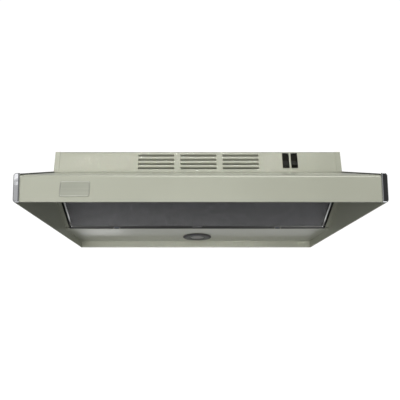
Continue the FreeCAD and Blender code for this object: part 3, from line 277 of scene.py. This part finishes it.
def finish_of(name, **settings):
    """A material with its Principled BSDF's plain values set; returns it, its Shade and its shader."""
    material = bpy.data.materials.new(name)
    material.use_nodes = True
    shader = material.node_tree.nodes["Principled BSDF"]
    for socket, value in settings.items():
        target = shader.inputs[socket.replace("_", " ")]
        target.default_value = (*value, 1) if isinstance(value, tuple) and len(value) == 3 else value
    shade = Shade(material.node_tree)
    shade.place = shade.node("ShaderNodeTexCoord", -900, 0).outputs["Object"]
    return material, shade, shader


def new_group(name, inputs, outputs):
    """An empty shader node group with named sockets; returns its tree, its Shade, and both ends."""
    tree = bpy.data.node_groups.new(name, "ShaderNodeTree")
    for label, kind, value in inputs:
        socket = tree.interface.new_socket(label, in_out="INPUT", socket_type=kind)
        if value is not None:
            socket.default_value = value
    for label, kind in outputs:
        tree.interface.new_socket(label, in_out="OUTPUT", socket_type=kind)
    shade = Shade(tree)
    return tree, shade, shade.node("NodeGroupInput", -900, 0), shade.node("NodeGroupOutput", 600, 0)


# the kinds of input that the groups and trees below take
FLOAT, WHOLE, VECTOR, MATERIAL = (
    "NodeSocketFloat", "NodeSocketInt", "NodeSocketVector", "NodeSocketMaterial")

# pebble: the faint orange-peel of sprayed paint and the pimpled skin of moulded plastic
pebble, inside, given, result = new_group(
    "pebbled_skin",
    [("Place", VECTOR, None), ("Size", FLOAT, 600.0), ("Depth", FLOAT, 0.1)],
    [("Normal", VECTOR)])
peel = inside.node("ShaderNodeTexNoise", -500, 100)
peel.inputs["Detail"].default_value = 2.0
inside.wire(given.outputs["Place"], peel.inputs["Vector"])
inside.wire(given.outputs["Size"], peel.inputs["Scale"])
peel_bump = inside.node("ShaderNodeBump", 0, 0)
peel_bump.inputs["Distance"].default_value = 0.0002
inside.wire(given.outputs["Depth"], peel_bump.inputs["Strength"])
inside.wire(peel.outputs["Fac"], peel_bump.inputs["Height"])
inside.wire(peel_bump.outputs["Normal"], result.inputs["Normal"])

# handling: soft smudges and a thin film that gather on a surface in use
handling, inside, given, result = new_group(
    "handling_marks",
    [("Place", VECTOR, None), ("Amount", FLOAT, 0.5)],
    [("Film", FLOAT), ("Drift", FLOAT)])
broad = inside.noise(given.outputs["Place"], 5.0, 4.0, 0.55)
fine = inside.noise(given.outputs["Place"], 38.0, 5.0, 0.6)
smudge = inside.math("MULTIPLY", inside.remap(broad, 0.42, 0.70, 0.0, 1.0),
                     inside.remap(fine, 0.35, 0.75, 0.2, 1.0))
inside.wire(inside.math("MULTIPLY", smudge, given.outputs["Amount"]), result.inputs["Film"])
inside.wire(broad, result.inputs["Drift"])


def sprayed_paint(name, colour, deep, rough, flake=0.0):
    """Satin paint on steel: a pebbled skin, slow drifts of tone and a thin film of handling marks."""
    material, shade, shader = finish_of(name, Metallic=flake, IOR=1.5, Coat_IOR=1.5, Coat_Roughness=0.22)
    shader.inputs["Coat Weight"].default_value = 0.25
    skin = shade.group(pebble, Place=shade.place, Size=520.0, Depth=0.16)
    marks = shade.group(handling, Place=shade.place, Amount=0.6)
    tone = shade.blend(shade.remap(marks.outputs["Drift"], 0.3, 0.7, 0.0, 1.0), deep, colour)
    shade.wire(tone, shader.inputs["Base Color"])
    worn = shade.math("MULTIPLY_ADD", marks.outputs["Film"], 0.14, rough)
    shade.wire(worn, shader.inputs["Roughness"])
    shade.wire(skin.outputs["Normal"], shader.inputs["Normal"])
    return material


def paint(material, *names):
    """Give CAD nodes a material in place of the one they arrived with."""
    for name in names:
        mesh = nodes[name].data
        mesh.materials.clear()
        mesh.materials.append(material)


shell_paint = sprayed_paint("stone_grey_paint", (0.356, 0.363, 0.294), (0.340, 0.347, 0.281), 0.36, 0.12)
paint(shell_paint, "side_panel_left", "side_panel_right", "front_band", "sloped_deck", "upper_fascia",
      "top_panel", "back_panel", "lamp_panel", "fan_plate", "filter_top_channel")

# the guides beside the filter carry painted shade: a darker copy of the shell paint, so that they look as
# shaded as the side walls
shaded_guide_coat = sprayed_paint("guide_coat_with_painted_shade", (0.262, 0.267, 0.216), (0.250, 0.255, 0.206), 0.40, 0.12)
paint(shaded_guide_coat, "filter_guide_left", "filter_guide_right")


def new_tree(name, inputs):
    """A Geometry Nodes tree with named inputs and one geometry output."""
    tree = bpy.data.node_groups.new(name, "GeometryNodeTree")
    identifiers = {}
    for label, kind, value in inputs:
        socket = tree.interface.new_socket(label, in_out="INPUT", socket_type=kind)
        if value is not None:
            socket.default_value = value
        identifiers[label] = socket.identifier
    tree.interface.new_socket("Geometry", in_out="OUTPUT", socket_type="NodeSocketGeometry")
    shade = Shade(tree)
    given, result = shade.node("NodeGroupInput", -1200, 0), shade.node("NodeGroupOutput", 1200, 0)
    return tree, shade, given, result, identifiers


def close_tree(shade, given, result, instances):
    """End a tree as every tree here ends: real geometry, dressed in the given material."""
    realised = shade.node("GeometryNodeRealizeInstances")
    shade.wire(instances, realised.inputs["Geometry"])
    dressed = shade.node("GeometryNodeSetMaterial")
    shade.wire(realised.outputs["Geometry"], dressed.inputs["Geometry"])
    shade.wire(given.outputs["Material"], dressed.inputs["Material"])
    shade.wire(dressed.outputs["Geometry"], result.inputs["Geometry"])


def grown(name, tree, identifiers, values, material):
    """Run a tree on an empty mesh with these inputs and keep the result as a plain mesh object."""
    carrier = bpy.data.objects.new(name + "_carrier", bpy.data.meshes.new(name + "_carrier"))
    scene.collection.objects.link(carrier)
    modifier = carrier.modifiers.new("grown", "NODES")
    modifier.node_group = tree
    for label, value in values.items():
        modifier[identifiers[label]] = value
    modifier[identifiers["Material"]] = material
    carrier.update_tag()
    depsgraph = bpy.context.evaluated_depsgraph_get()
    mesh = bpy.data.meshes.new_from_object(carrier.evaluated_get(depsgraph))
    carrier.modifiers.remove(modifier)
    bpy.data.objects.remove(carrier)
    mesh.name = name
    piece = bpy.data.objects.new(name, mesh)
    scene.collection.objects.link(piece)
    return piece


# domed heads in a row: weld marks, rivets
dome_tree, build, given, result, dome_inputs = new_tree("dome_row", [
    ("Material", MATERIAL, None), ("Length", FLOAT, 0.1), ("Count", WHOLE, 5),
    ("Radius", FLOAT, 0.003), ("Height", FLOAT, 0.0003)])
dome_line = build.node("GeometryNodeMeshLine", mode="END_POINTS")
dome_end = build.node("ShaderNodeCombineXYZ")
build.wire(given.outputs["Length"], dome_end.inputs["X"])
build.wire(dome_end.outputs["Vector"], dome_line.inputs["Offset"])
build.wire(given.outputs["Count"], dome_line.inputs["Count"])
dome_ball = build.node("GeometryNodeMeshUVSphere")
dome_ball.inputs["Segments"].default_value = 12
dome_ball.inputs["Rings"].default_value = 6
dome_ball.inputs["Radius"].default_value = 1.0
dome_shape = build.node("ShaderNodeCombineXYZ")
build.wire(given.outputs["Radius"], dome_shape.inputs["X"])
build.wire(given.outputs["Radius"], dome_shape.inputs["Y"])
build.wire(given.outputs["Height"], dome_shape.inputs["Z"])
domes = build.node("GeometryNodeInstanceOnPoints")
build.wire(dome_line.outputs["Mesh"], domes.inputs["Points"])
build.wire(dome_ball.outputs["Mesh"], domes.inputs["Instance"])
build.wire(dome_shape.outputs["Vector"], domes.inputs["Scale"])
close_tree(build, given, result, domes.outputs["Instances"])


def dome_row(name, start, end, normal, count, radius, height, material):
    """A straight row of low domes between two points of a flat face."""
    along, normal = Vector(end) - Vector(start), Vector(normal)
    piece = grown(name, dome_tree, dome_inputs, {
        "Length": along.length, "Count": count, "Radius": radius, "Height": height}, material)
    along.normalize()
    turn = Matrix((along, normal.cross(along), normal)).transposed().to_4x4()
    piece.data.transform(Matrix.Translation(start) @ turn)
    return piece


# each end is spot-welded to the deck, the divider, the tray and the top; the marks show through
side_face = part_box("side_panel_right")[1].x
weld_radius, weld_height = 0.0028, 0.00025
weld_rows = (
    ("deck", (-0.278, -0.137), (-0.145, -0.072), 7), ("divider", (-0.106, -0.068), (0.122, -0.068), 8),
    ("tray", (-0.004, -0.175), (0.122, -0.175), 5), ("top", (-0.114, -0.008), (0.124, -0.008), 9))
for end_name, way in (("left", -1), ("right", 1)):
    for seam, front, rear, count in weld_rows:
        marks = dome_row("welds_%s_%s" % (seam, end_name), (side_face * way, *front),
                         (side_face * way, *rear), (way, 0, 0), count, weld_radius, weld_height,
                         shell_paint)
        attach(marks, "hood")

# ---------------------------------------------------------------------------------------------
# End caps: moulded in plastic, then plated, snapped over the two raw ends of the front band.
# The plating is bright, a little wavy from the moulding, and hazed where hands wipe it.
# ---------------------------------------------------------------------------------------------
cap_plating, shade, shader = finish_of("cap_plating", Metallic=1.0)
marks = shade.group(handling, Place=shade.place, Amount=1.0)
plate_tone = shade.blend(marks.outputs["Film"], (0.58, 0.585, 0.60), (0.48, 0.485, 0.49))
shade.wire(plate_tone, shader.inputs["Base Color"])
shade.wire(shade.math("MULTIPLY_ADD", marks.outputs["Film"], 0.10, 0.07), shader.inputs["Roughness"])
wave = shade.noise(shade.place, 55.0, 1.0)
shade.wire(shade.bump(wave, 0.12, 0.002), shader.inputs["Normal"])
paint(cap_plating, "end_cap_left", "end_cap_right")

# ---------------------------------------------------------------------------------------------
# Edge trims and filter rails: black strips of painted shade and painted reflection.  The trims lie along the
# seams of the deck with the sides, where their black is a painted dark reflection; the rails are folded
# steel sprayed black as painted shade, so that the gaps beside the filter stay dark.
# ---------------------------------------------------------------------------------------------
trim_black = sprayed_paint("trim_black", (0.035, 0.036, 0.032), (0.026, 0.027, 0.024), 0.55)
# the trims' black is painted reflection, the rails' black painted shade
paint(trim_black, "edge_trim_left", "edge_trim_right", "filter_rail_left", "filter_rail_right")

# ---------------------------------------------------------------------------------------------
# Badge: a blank stamped plate glued on the band, satin brushed along its length, where a maker
# would put a mark.  It carries nothing.
# ---------------------------------------------------------------------------------------------

# brushing: long fine scratches that run along one direction of the piece
brushing, inside, given, result = new_group(
    "brushed_lines",
    [("Place", VECTOR, None), ("Depth", FLOAT, 0.2)],
    [("Normal", VECTOR), ("Mask", FLOAT)])
scratch = inside.noise(given.outputs["Place"], 1.0, 4.0, 0.65)
scratch_bump = inside.node("ShaderNodeBump", 0, 0)
scratch_bump.inputs["Distance"].default_value = 0.0001
inside.wire(given.outputs["Depth"], scratch_bump.inputs["Strength"])
inside.wire(scratch, scratch_bump.inputs["Height"])
inside.wire(scratch_bump.outputs["Normal"], result.inputs["Normal"])
inside.wire(scratch, result.inputs["Mask"])


def brushed_metal(name, colour, deep, rough, grain, depth=0.25):
    """Bare metal with lines along one axis; grain is the noise's scale along X, Y and Z."""
    material, shade, shader = finish_of(name, Metallic=1.0)
    lines = shade.group(brushing, Place=shade.stretch(shade.place, grain), Depth=depth)
    marks = shade.group(handling, Place=shade.place, Amount=0.7)
    tone = shade.blend(shade.remap(lines.outputs["Mask"], 0.35, 0.65, 0.0, 1.0), deep, colour)
    shade.wire(tone, shader.inputs["Base Color"])
    dulled = shade.math("MULTIPLY_ADD", marks.outputs["Film"], 0.16, rough)
    shade.wire(shade.math("MULTIPLY_ADD", lines.outputs["Mask"], 0.10, dulled), shader.inputs["Roughness"])
    shade.wire(lines.outputs["Normal"], shader.inputs["Normal"])
    return material


badge_plate = brushed_metal("badge_plate", (0.44, 0.45, 0.38), (0.38, 0.39, 0.33), 0.42, (6, 900, 900))
paint(badge_plate, "blank_badge")

# a raised bead runs round the plate, just inside its edge
bead_tree, build, given, result, bead_inputs = new_tree("raised_bead", [
    ("Material", MATERIAL, None), ("Width", FLOAT, 0.058), ("Height", FLOAT, 0.03),
    ("Corner", FLOAT, 0.004), ("Bead", FLOAT, 0.0004)])
bead_path = build.node("GeometryNodeCurvePrimitiveQuadrilateral", mode="RECTANGLE")
build.wire(given.outputs["Width"], bead_path.inputs["Width"])
build.wire(given.outputs["Height"], bead_path.inputs["Height"])
bead_bend = build.node("GeometryNodeFilletCurve", mode="POLY")
build.wire(bead_path.outputs["Curve"], bead_bend.inputs["Curve"])
bead_bend.inputs["Count"].default_value = 6
build.wire(given.outputs["Corner"], bead_bend.inputs["Radius"])
bead_section = build.node("GeometryNodeCurvePrimitiveCircle", mode="RADIUS")
bead_section.inputs["Resolution"].default_value = 10
build.wire(given.outputs["Bead"], bead_section.inputs["Radius"])
bead = build.node("GeometryNodeCurveToMesh")
build.wire(bead_bend.outputs["Curve"], bead.inputs["Curve"])
build.wire(bead_section.outputs["Curve"], bead.inputs["Profile Curve"])
close_tree(build, given, result, bead.outputs["Mesh"])
badge_low, badge_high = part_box("blank_badge")
badge_middle = (badge_low + badge_high) / 2
bead_margin = 0.003
bead_metal = brushed_metal("bead_metal", (0.62, 0.62, 0.58), (0.54, 0.54, 0.50), 0.30, (6, 900, 900))
badge_bead = grown("badge_bead", bead_tree, bead_inputs, {
    "Width": badge_high.x - badge_low.x - bead_margin, "Height": badge_high.z - badge_low.z - bead_margin,
    "Corner": 0.004, "Bead": 0.0005}, bead_metal)
upright = Matrix.Rotation(math.radians(90), 4, "X")
badge_bead.data.transform(Matrix.Translation((badge_middle.x, badge_low.y, badge_middle.z)) @ upright)
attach(badge_bead, "hood")

# ---------------------------------------------------------------------------------------------
# Rocker switches: satin black nylon bezels snapped into the fascia, each with a dished rocker
# moulded in a like black, and brass blade terminals behind.
# ---------------------------------------------------------------------------------------------


def moulded(name, colour, rough, skin_size, skin_depth, coat=0.0, gloss=0.5):
    """Moulded plastic: pimpled skin and a little handling."""
    material, shade, shader = finish_of(name, IOR=1.52, Coat_Roughness=0.08, Specular_IOR_Level=gloss)
    shader.inputs["Coat Weight"].default_value = coat
    skin = shade.group(pebble, Place=shade.place, Size=skin_size, Depth=skin_depth)
    marks = shade.group(handling, Place=shade.place, Amount=0.8)
    paler = tuple(min(1.0, part * 1.35 + 0.002) for part in colour)
    shade.wire(shade.blend(marks.outputs["Film"], colour, paler), shader.inputs["Base Color"])
    shade.wire(shade.math("MULTIPLY_ADD", marks.outputs["Film"], 0.15, rough), shader.inputs["Roughness"])
    shade.wire(skin.outputs["Normal"], shader.inputs["Normal"])
    return material


switch_black = moulded("switch_black", (0.006, 0.006, 0.004), 0.44, 1600.0, 0.10, gloss=0.10)
rocker_black = moulded("rocker_black", (0.005, 0.005, 0.003), 0.50, 1200.0, 0.05, gloss=0.08)
paint(switch_black, "switch_housing_fan", "switch_housing_light")
paint(rocker_black, "rocker_fan", "rocker_light")
blade_brass = brushed_metal("blade_brass", (0.62, 0.45, 0.18), (0.52, 0.37, 0.14), 0.30, (500, 30, 500))
paint(blade_brass, "switch_tabs_fan", "switch_tabs_light")

# ---------------------------------------------------------------------------------------------
# Filter frame: rolled aluminium channel mitred round the meshes, with a folded pull tab, steel
# pins at its top corners and nylon pivots on the side walls.  Sprung blued catches and a soft
# black gasket on the tray's front flange close the gap along its lower edge.
# ---------------------------------------------------------------------------------------------

# painted shade: the channel is darkened along its lower edge, where the frame falls in shade
channel_grain, turned_grain = (14, 700, 700), (300, 300, 300)
channel_aluminium, shade, shader = finish_of("channel_aluminium", Metallic=1.0)
lines = shade.group(brushing, Place=shade.stretch(shade.place, channel_grain), Depth=0.25)
marks = shade.group(handling, Place=shade.place, Amount=0.7)
level = shade.node("ShaderNodeSeparateXYZ")
shade.wire(shade.place, level.inputs["Vector"])
lower_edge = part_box("filter_frame")[0].z
painted_shade_top, painted_shade_fade = 0.009, 0.018
free_of_painted_shade = shade.remap(level.outputs["Z"], lower_edge + painted_shade_top, lower_edge + painted_shade_fade, 0.0, 1.0)
streaks = shade.remap(lines.outputs["Mask"], 0.35, 0.65, 0.82, 1.0)
# the dark colour here is painted shade along the lowest edge of the channel, fading out above it
shade.wire(shade.blend(shade.math("MULTIPLY", free_of_painted_shade, streaks), (0.10, 0.10, 0.095), (0.47, 0.475, 0.475)),
           shader.inputs["Base Color"])
shade.wire(shade.math("MULTIPLY_ADD", marks.outputs["Film"], 0.16, 0.43), shader.inputs["Roughness"])
shade.wire(lines.outputs["Normal"], shader.inputs["Normal"])
grimed_aluminium = brushed_metal("grimed_aluminium", (0.40, 0.40, 0.395), (0.32, 0.32, 0.315), 0.46,
                                 channel_grain)
paint(channel_aluminium, "filter_frame")
paint(grimed_aluminium, "filter_pull_tab")
bright_steel = brushed_metal("bright_steel", (0.56, 0.57, 0.58), (0.48, 0.49, 0.50), 0.26,
                             turned_grain, 0.12)
paint(bright_steel, "filter_hinge_pins")
blued_steel = brushed_metal("blued_steel", (0.10, 0.105, 0.12), (0.07, 0.075, 0.085), 0.34,
                            turned_grain, 0.12)
paint(blued_steel, "filter_catches")
soft_rubber = moulded("soft_rubber", (0.022, 0.022, 0.022), 0.62, 800.0, 0.2)
paint(soft_rubber, "filter_gasket")
pale_nylon = moulded("pale_nylon", (0.60, 0.59, 0.54), 0.46, 900.0, 0.12)
paint(pale_nylon, "filter_pivot_left", "filter_pivot_right")

# ---------------------------------------------------------------------------------------------
# Filter meshes: aluminium foil slit and stretched into rows of diamonds.  Zigzag strands run the
# width of the frame, each half a wave out of line with the next so that they meet at the points.
# ---------------------------------------------------------------------------------------------
slope = math.radians(34.19)
down_filter = Vector((0, math.cos(slope), -math.sin(slope)))
out_of_filter = Vector((0, math.sin(slope), math.cos(slope)))
frame_low, frame_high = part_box("filter_frame")
filter_half = frame_high.x
filter_thickness = 0.009
frame_top = Vector((0, frame_low.y, frame_high.z - filter_thickness * math.cos(slope)))
filter_length = (frame_high.y - frame_low.y - filter_thickness * math.sin(slope)) / math.cos(slope)

# how far a strand swings for each row's pitch, how far it lifts, and how thin it is for its height
swing_share, swing_lift, strand_share = 0.44, 0.0002, 0.45
lattice, build, given, result, lattice_inputs = new_tree("stretched_foil", [
    ("Material", MATERIAL, None), ("Width", FLOAT, 0.7), ("Length", FLOAT, 0.16),
    ("Step", FLOAT, 0.004), ("Row", FLOAT, 0.003), ("Strand", FLOAT, 0.0005)])


def points_in(size, step):
    """How many points stand a step apart over a size."""
    steps = build.math("FLOOR", build.math("DIVIDE", given.outputs[size], given.outputs[step]))
    return build.math("ADD", steps, 1)


points_across = points_in("Width", "Step")
rows_down = points_in("Length", "Row")
row_line = build.node("GeometryNodeMeshLine", mode="OFFSET")
build.wire(rows_down, row_line.inputs["Count"])
row_step = build.node("ShaderNodeCombineXYZ")
build.wire(given.outputs["Row"], row_step.inputs["Y"])
build.wire(row_step.outputs["Vector"], row_line.inputs["Offset"])
strand_line = build.node("GeometryNodeMeshLine", mode="OFFSET")
build.wire(points_across, strand_line.inputs["Count"])
strand_step = build.node("ShaderNodeCombineXYZ")
build.wire(given.outputs["Step"], strand_step.inputs["X"])
build.wire(strand_step.outputs["Vector"], strand_line.inputs["Offset"])
index = build.node("GeometryNodeInputIndex")
odd_point = build.math("MULTIPLY_ADD", build.math("MODULO", index.outputs["Index"], 2.0), 2.0, -1.0)
swing = build.node("ShaderNodeCombineXYZ")
swing_row = build.math("MULTIPLY", odd_point, given.outputs["Row"])
build.wire(build.math("MULTIPLY", swing_row, swing_share), swing.inputs["Y"])
build.wire(build.math("MULTIPLY", odd_point, swing_lift), swing.inputs["Z"])
zigzag = build.node("GeometryNodeSetPosition")
build.wire(strand_line.outputs["Mesh"], zigzag.inputs["Geometry"])
build.wire(swing.outputs["Vector"], zigzag.inputs["Offset"])
strand_path = build.node("GeometryNodeMeshToCurve")
build.wire(zigzag.outputs["Geometry"], strand_path.inputs["Mesh"])
strand_section = build.node("GeometryNodeCurvePrimitiveQuadrilateral", mode="RECTANGLE")
build.wire(build.math("MULTIPLY", given.outputs["Strand"], strand_share), strand_section.inputs["Width"])
build.wire(given.outputs["Strand"], strand_section.inputs["Height"])
strand = build.node("GeometryNodeCurveToMesh")
build.wire(strand_path.outputs["Curve"], strand.inputs["Curve"])
build.wire(strand_section.outputs["Curve"], strand.inputs["Profile Curve"])
strand.inputs["Fill Caps"].default_value = True
placed = build.node("GeometryNodeInstanceOnPoints")
build.wire(row_line.outputs["Mesh"], placed.inputs["Points"])
build.wire(strand.outputs["Mesh"], placed.inputs["Instance"])
odd_row = build.math("MODULO", index.outputs["Index"], 2.0)
shift = build.node("ShaderNodeCombineXYZ")
build.wire(build.math("MULTIPLY", odd_row, given.outputs["Step"]), shift.inputs["X"])
stagger = build.node("GeometryNodeTranslateInstances")
build.wire(placed.outputs["Instances"], stagger.inputs["Instances"])
build.wire(shift.outputs["Vector"], stagger.inputs["Translation"])
close_tree(build, given, result, stagger.outputs["Instances"])

foil, shade, shader = finish_of("mesh_foil", Metallic=1.0)
tarnish = shade.noise(shade.place, 60.0, 4.0)
foil_tone = shade.blend(shade.remap(tarnish, 0.35, 0.65, 0.0, 1.0), (0.40, 0.40, 0.415), (0.52, 0.52, 0.535))
shade.wire(foil_tone, shader.inputs["Base Color"])
shade.wire(shade.math("MULTIPLY_ADD", tarnish, 0.2, 0.34), shader.inputs["Roughness"])
shade.wire(shade.bump(shade.noise(shade.place, 900.0, 2.0), 0.3, 0.0002), shader.inputs["Normal"])


def foil_layer(name, node_name, depth, step, row, strand):
    """One stretched sheet, laid into the frame at a depth from its lower face."""
    margin = 0.0014
    width = (filter_half - margin) * 2
    length = filter_length - margin * 2
    values = {"Width": width - step, "Length": length - row, "Step": step, "Row": row, "Strand": strand}
    piece = grown(name, lattice, lattice_inputs, values, foil)
    along_x = Vector((1, 0, 0))
    corner = frame_top + down_filter * (margin + row / 2) + out_of_filter * depth - along_x * (width / 2)
    turn = Matrix((along_x, down_filter, out_of_filter)).transposed().to_4x4()
    piece.data.transform(Matrix.Translation(corner) @ turn)
    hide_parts(node_name)
    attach(piece, "filter")


# a small rivet closes each mitre of the frame
rivet_inset, rivet_radius, rivet_height = 0.0023, 0.0014, 0.0006
for edge_name, inset in (("upper", rivet_inset), ("lower", filter_length - rivet_inset)):
    middle = frame_top + down_filter * inset
    across = Vector((filter_half - rivet_inset, 0, 0))
    rivets = dome_row("frame_rivets_" + edge_name, middle - across, middle + across, -out_of_filter, 2,
                      rivet_radius, rivet_height, bright_steel)
    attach(rivets, "filter")

# fine foil faces the hob; a coarser sheet backs the pad
foil_layer("foil_mesh_face", "filter_mesh", depth=0.00135, step=0.0027, row=0.0021, strand=0.0006)
foil_layer("foil_mesh_back", "backing_mesh", depth=filter_thickness - 0.00145, step=0.006, row=0.005,
           strand=0.0008)

# ---------------------------------------------------------------------------------------------
# Charcoal pad: black carbon-loaded fleece held between the two meshes.  It takes up smells and
# makes the filter look near black behind the foil.
# ---------------------------------------------------------------------------------------------
charcoal, shade, shader = finish_of("charcoal_fleece", Roughness=0.95)
fibres = shade.noise(shade.stretch(shade.place, (1, 1.3, 1)), 700.0, 5.0, 0.7)
clumps = shade.noise(shade.place, 90.0, 3.0)
fleece_tone = shade.blend(shade.remap(shade.math("MULTIPLY", fibres, clumps), 0.15, 0.38, 0.0, 1.0),
                          (0.012, 0.012, 0.012), (0.040, 0.040, 0.041))
shade.wire(fleece_tone, shader.inputs["Base Color"])
shade.wire(shade.bump(fibres, 0.8, 0.0006), shader.inputs["Normal"])
paint(charcoal, "charcoal_pad")

# ---------------------------------------------------------------------------------------------
# Lamp: a zinc-plated steel can over the tray, a ceramic holder and a clear bulb, and below them
# a black twist-off bezel that holds a round glass.
# ---------------------------------------------------------------------------------------------
zinc_plate, shade, shader = finish_of("zinc_plate", Metallic=1.0)
spangle = shade.node("ShaderNodeTexVoronoi", -500, 0)
spangle.inputs["Scale"].default_value = 85.0
shade.wire(shade.place, spangle.inputs["Vector"])
crystal = shade.node("ShaderNodeSeparateColor")
shade.wire(spangle.outputs["Color"], crystal.inputs["Color"])
shade.wire(shade.blend(crystal.outputs[0], (0.46, 0.47, 0.48), (0.60, 0.61, 0.62)),
           shader.inputs["Base Color"])
shade.wire(shade.math("MULTIPLY_ADD", crystal.outputs[1], 0.16, 0.30), shader.inputs["Roughness"])
shade.wire(shade.bump(shade.noise(shade.place, 300.0, 2.0), 0.1, 0.0002), shader.inputs["Normal"])
paint(zinc_plate, "lamp_housing")
ceramic = moulded("glazed_ceramic", (0.70, 0.68, 0.62), 0.30, 260.0, 0.08, coat=0.2)
paint(ceramic, "lamp_holder")
bezel_black = moulded("bezel_black", (0.030, 0.030, 0.029), 0.40, 1300.0, 0.22)
paint(bezel_black, "lamp_bezel")

# grip ribs stand round the bezel's sloping rim, so that fingers can turn it
ribs_tree, build, given, result, ribs_inputs = new_tree("grip_ribs", [
    ("Material", MATERIAL, None), ("Count", WHOLE, 60), ("Radius", FLOAT, 0.04),
    ("Length", FLOAT, 0.006), ("Thickness", FLOAT, 0.0008), ("Lean", FLOAT, 0.3)])
rib_circle = build.node("GeometryNodeMeshCircle", fill_type="NONE")
build.wire(given.outputs["Count"], rib_circle.inputs["Vertices"])
build.wire(given.outputs["Radius"], rib_circle.inputs["Radius"])
rib_size = build.node("ShaderNodeCombineXYZ")
build.wire(given.outputs["Length"], rib_size.inputs["X"])
build.wire(given.outputs["Thickness"], rib_size.inputs["Y"])
build.wire(given.outputs["Thickness"], rib_size.inputs["Z"])
rib_bar = build.node("GeometryNodeMeshCube")
build.wire(rib_size.outputs["Vector"], rib_bar.inputs["Size"])
rib_place = build.node("GeometryNodeInputPosition")
rib_heading = build.node("ShaderNodeSeparateXYZ")
build.wire(rib_place.outputs["Position"], rib_heading.inputs["Vector"])
rib_turn = build.node("ShaderNodeCombineXYZ")
build.wire(build.math("MULTIPLY", given.outputs["Lean"], -1.0), rib_turn.inputs["Y"])
build.wire(build.math("ARCTAN2", rib_heading.outputs["Y"], rib_heading.outputs["X"]), rib_turn.inputs["Z"])
ribs = build.node("GeometryNodeInstanceOnPoints")
build.wire(rib_circle.outputs["Mesh"], ribs.inputs["Points"])
build.wire(rib_bar.outputs["Mesh"], ribs.inputs["Instance"])
build.wire(rib_turn.outputs["Vector"], ribs.inputs["Rotation"])
close_tree(build, given, result, ribs.outputs["Instances"])
bezel_low, bezel_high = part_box("lamp_bezel")
bezel_middle = (bezel_low + bezel_high) / 2
rim_rise, rim_run = 0.0023, 0.010
ribs_level = bezel_low.z + rim_rise * 0.58
grip_ribs = grown("bezel_grip_ribs", ribs_tree, ribs_inputs, {
    "Count": 72, "Radius": 0.0398, "Length": 0.0066, "Thickness": 0.0007,
    "Lean": math.atan2(rim_rise, rim_run)}, bezel_black)
grip_ribs.data.transform(Matrix.Translation((bezel_middle.x, bezel_middle.y, ribs_level)))
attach(grip_ribs, "lamp_cover")

# the bulb is clear; the cover's glass is greyish, pressed in rings and stippled
bulb_glass, shade, shader = finish_of("bulb_glass", Base_Color=(0.95, 0.95, 0.93), IOR=1.46, Roughness=0.05)
shader.inputs["Transmission Weight"].default_value = 1.0
shade.wire(shade.bump(shade.noise(shade.place, 160.0, 1.0), 0.05, 0.0004), shader.inputs["Normal"])
paint(bulb_glass, "lamp_bulb")
pressed_glass, shade, shader = finish_of("pressed_glass", Base_Color=(0.40, 0.41, 0.38), IOR=1.5,
                                         Roughness=0.34)
shader.inputs["Transmission Weight"].default_value = 0.70
lens_low, lens_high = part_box("lamp_glass")
centred = shade.node("ShaderNodeMapping")
centred.inputs["Location"].default_value = (
    -(lens_low.x + lens_high.x) / 2, -(lens_low.y + lens_high.y) / 2, 0)
shade.wire(shade.place, centred.inputs["Vector"])
flat = shade.node("ShaderNodeVectorMath", operation="MULTIPLY")
flat.inputs[1].default_value = (1, 1, 0)
shade.wire(centred.outputs["Vector"], flat.inputs[0])
reach = shade.node("ShaderNodeVectorMath", operation="LENGTH")
shade.wire(flat.outputs["Vector"], reach.inputs[0])
ring_pitch = 0.0026
rings = shade.math("SINE", shade.math("MULTIPLY", reach.outputs["Value"], 2 * math.pi / ring_pitch))
stipple = shade.noise(shade.place, 700.0, 2.0)
shade.wire(shade.bump(rings, 0.6, 0.0005, shade.bump(stipple, 0.3, 0.0003)), shader.inputs["Normal"])
paint(pressed_glass, "lamp_glass")

# ---------------------------------------------------------------------------------------------
# Motor and fan: a black-sprayed can on a plated strap, laminated iron inside, bronze bushes, and
# a pressed aluminium wheel that hangs below on the shaft.
# ---------------------------------------------------------------------------------------------
motor_paint = sprayed_paint("motor_black", (0.020, 0.020, 0.021), (0.015, 0.015, 0.016), 0.42)
paint(motor_paint, "motor_can")
paint(zinc_plate, "motor_bracket", "motor_end_plate")
paint(bright_steel, "motor_screws", "bracket_screws", "motor_shaft", "fan_nut")
core_iron, shade, shader = finish_of("laminated_iron", Metallic=1.0, Roughness=0.5)
stack = shade.node("ShaderNodeTexWave", -500, 0, wave_type="BANDS", bands_direction="Z")
stack.inputs["Scale"].default_value = 310.0
shade.wire(shade.place, stack.inputs["Vector"])
shade.wire(shade.blend(stack.outputs["Fac"], (0.10, 0.10, 0.11), (0.24, 0.24, 0.25)),
           shader.inputs["Base Color"])
shade.wire(shade.bump(stack.outputs["Fac"], 0.5, 0.0002), shader.inputs["Normal"])
paint(core_iron, "stator_core", "rotor")
bush_bronze = brushed_metal("bush_bronze", (0.50, 0.33, 0.17), (0.42, 0.27, 0.13), 0.34,
                            turned_grain, 0.12)
paint(bush_bronze, "motor_bushes")
wheel_aluminium = brushed_metal("wheel_aluminium", (0.60, 0.61, 0.62), (0.52, 0.53, 0.54), 0.34,
                                (260, 260, 900))
paint(wheel_aluminium, "fan_wheel")

# ---------------------------------------------------------------------------------------------
# Wiring: three sleeved leads, rubber grommets where they and the supply cable pass through the
# sheet, and a terminal block in the plated box.
# ---------------------------------------------------------------------------------------------
paint(zinc_plate, "wiring_box")
paint(pale_nylon, "terminal_block")
paint(soft_rubber, "cable_bushing", "lead_grommet")
lead_sleeve, shade, shader = finish_of("lead_sleeve", Roughness=0.48)
braid = shade.node("ShaderNodeTexWave", -500, 0, wave_type="BANDS", bands_direction="DIAGONAL")
braid.inputs["Scale"].default_value = 260.0
shade.wire(shade.place, braid.inputs["Vector"])
shade.wire(shade.blend(braid.outputs["Fac"], (0.030, 0.030, 0.033), (0.055, 0.055, 0.060)),
           shader.inputs["Base Color"])
shade.wire(shade.bump(braid.outputs["Fac"], 0.3, 0.0003), shader.inputs["Normal"])
paint(lead_sleeve, "lead_motor", "lead_switches", "lead_lamp")
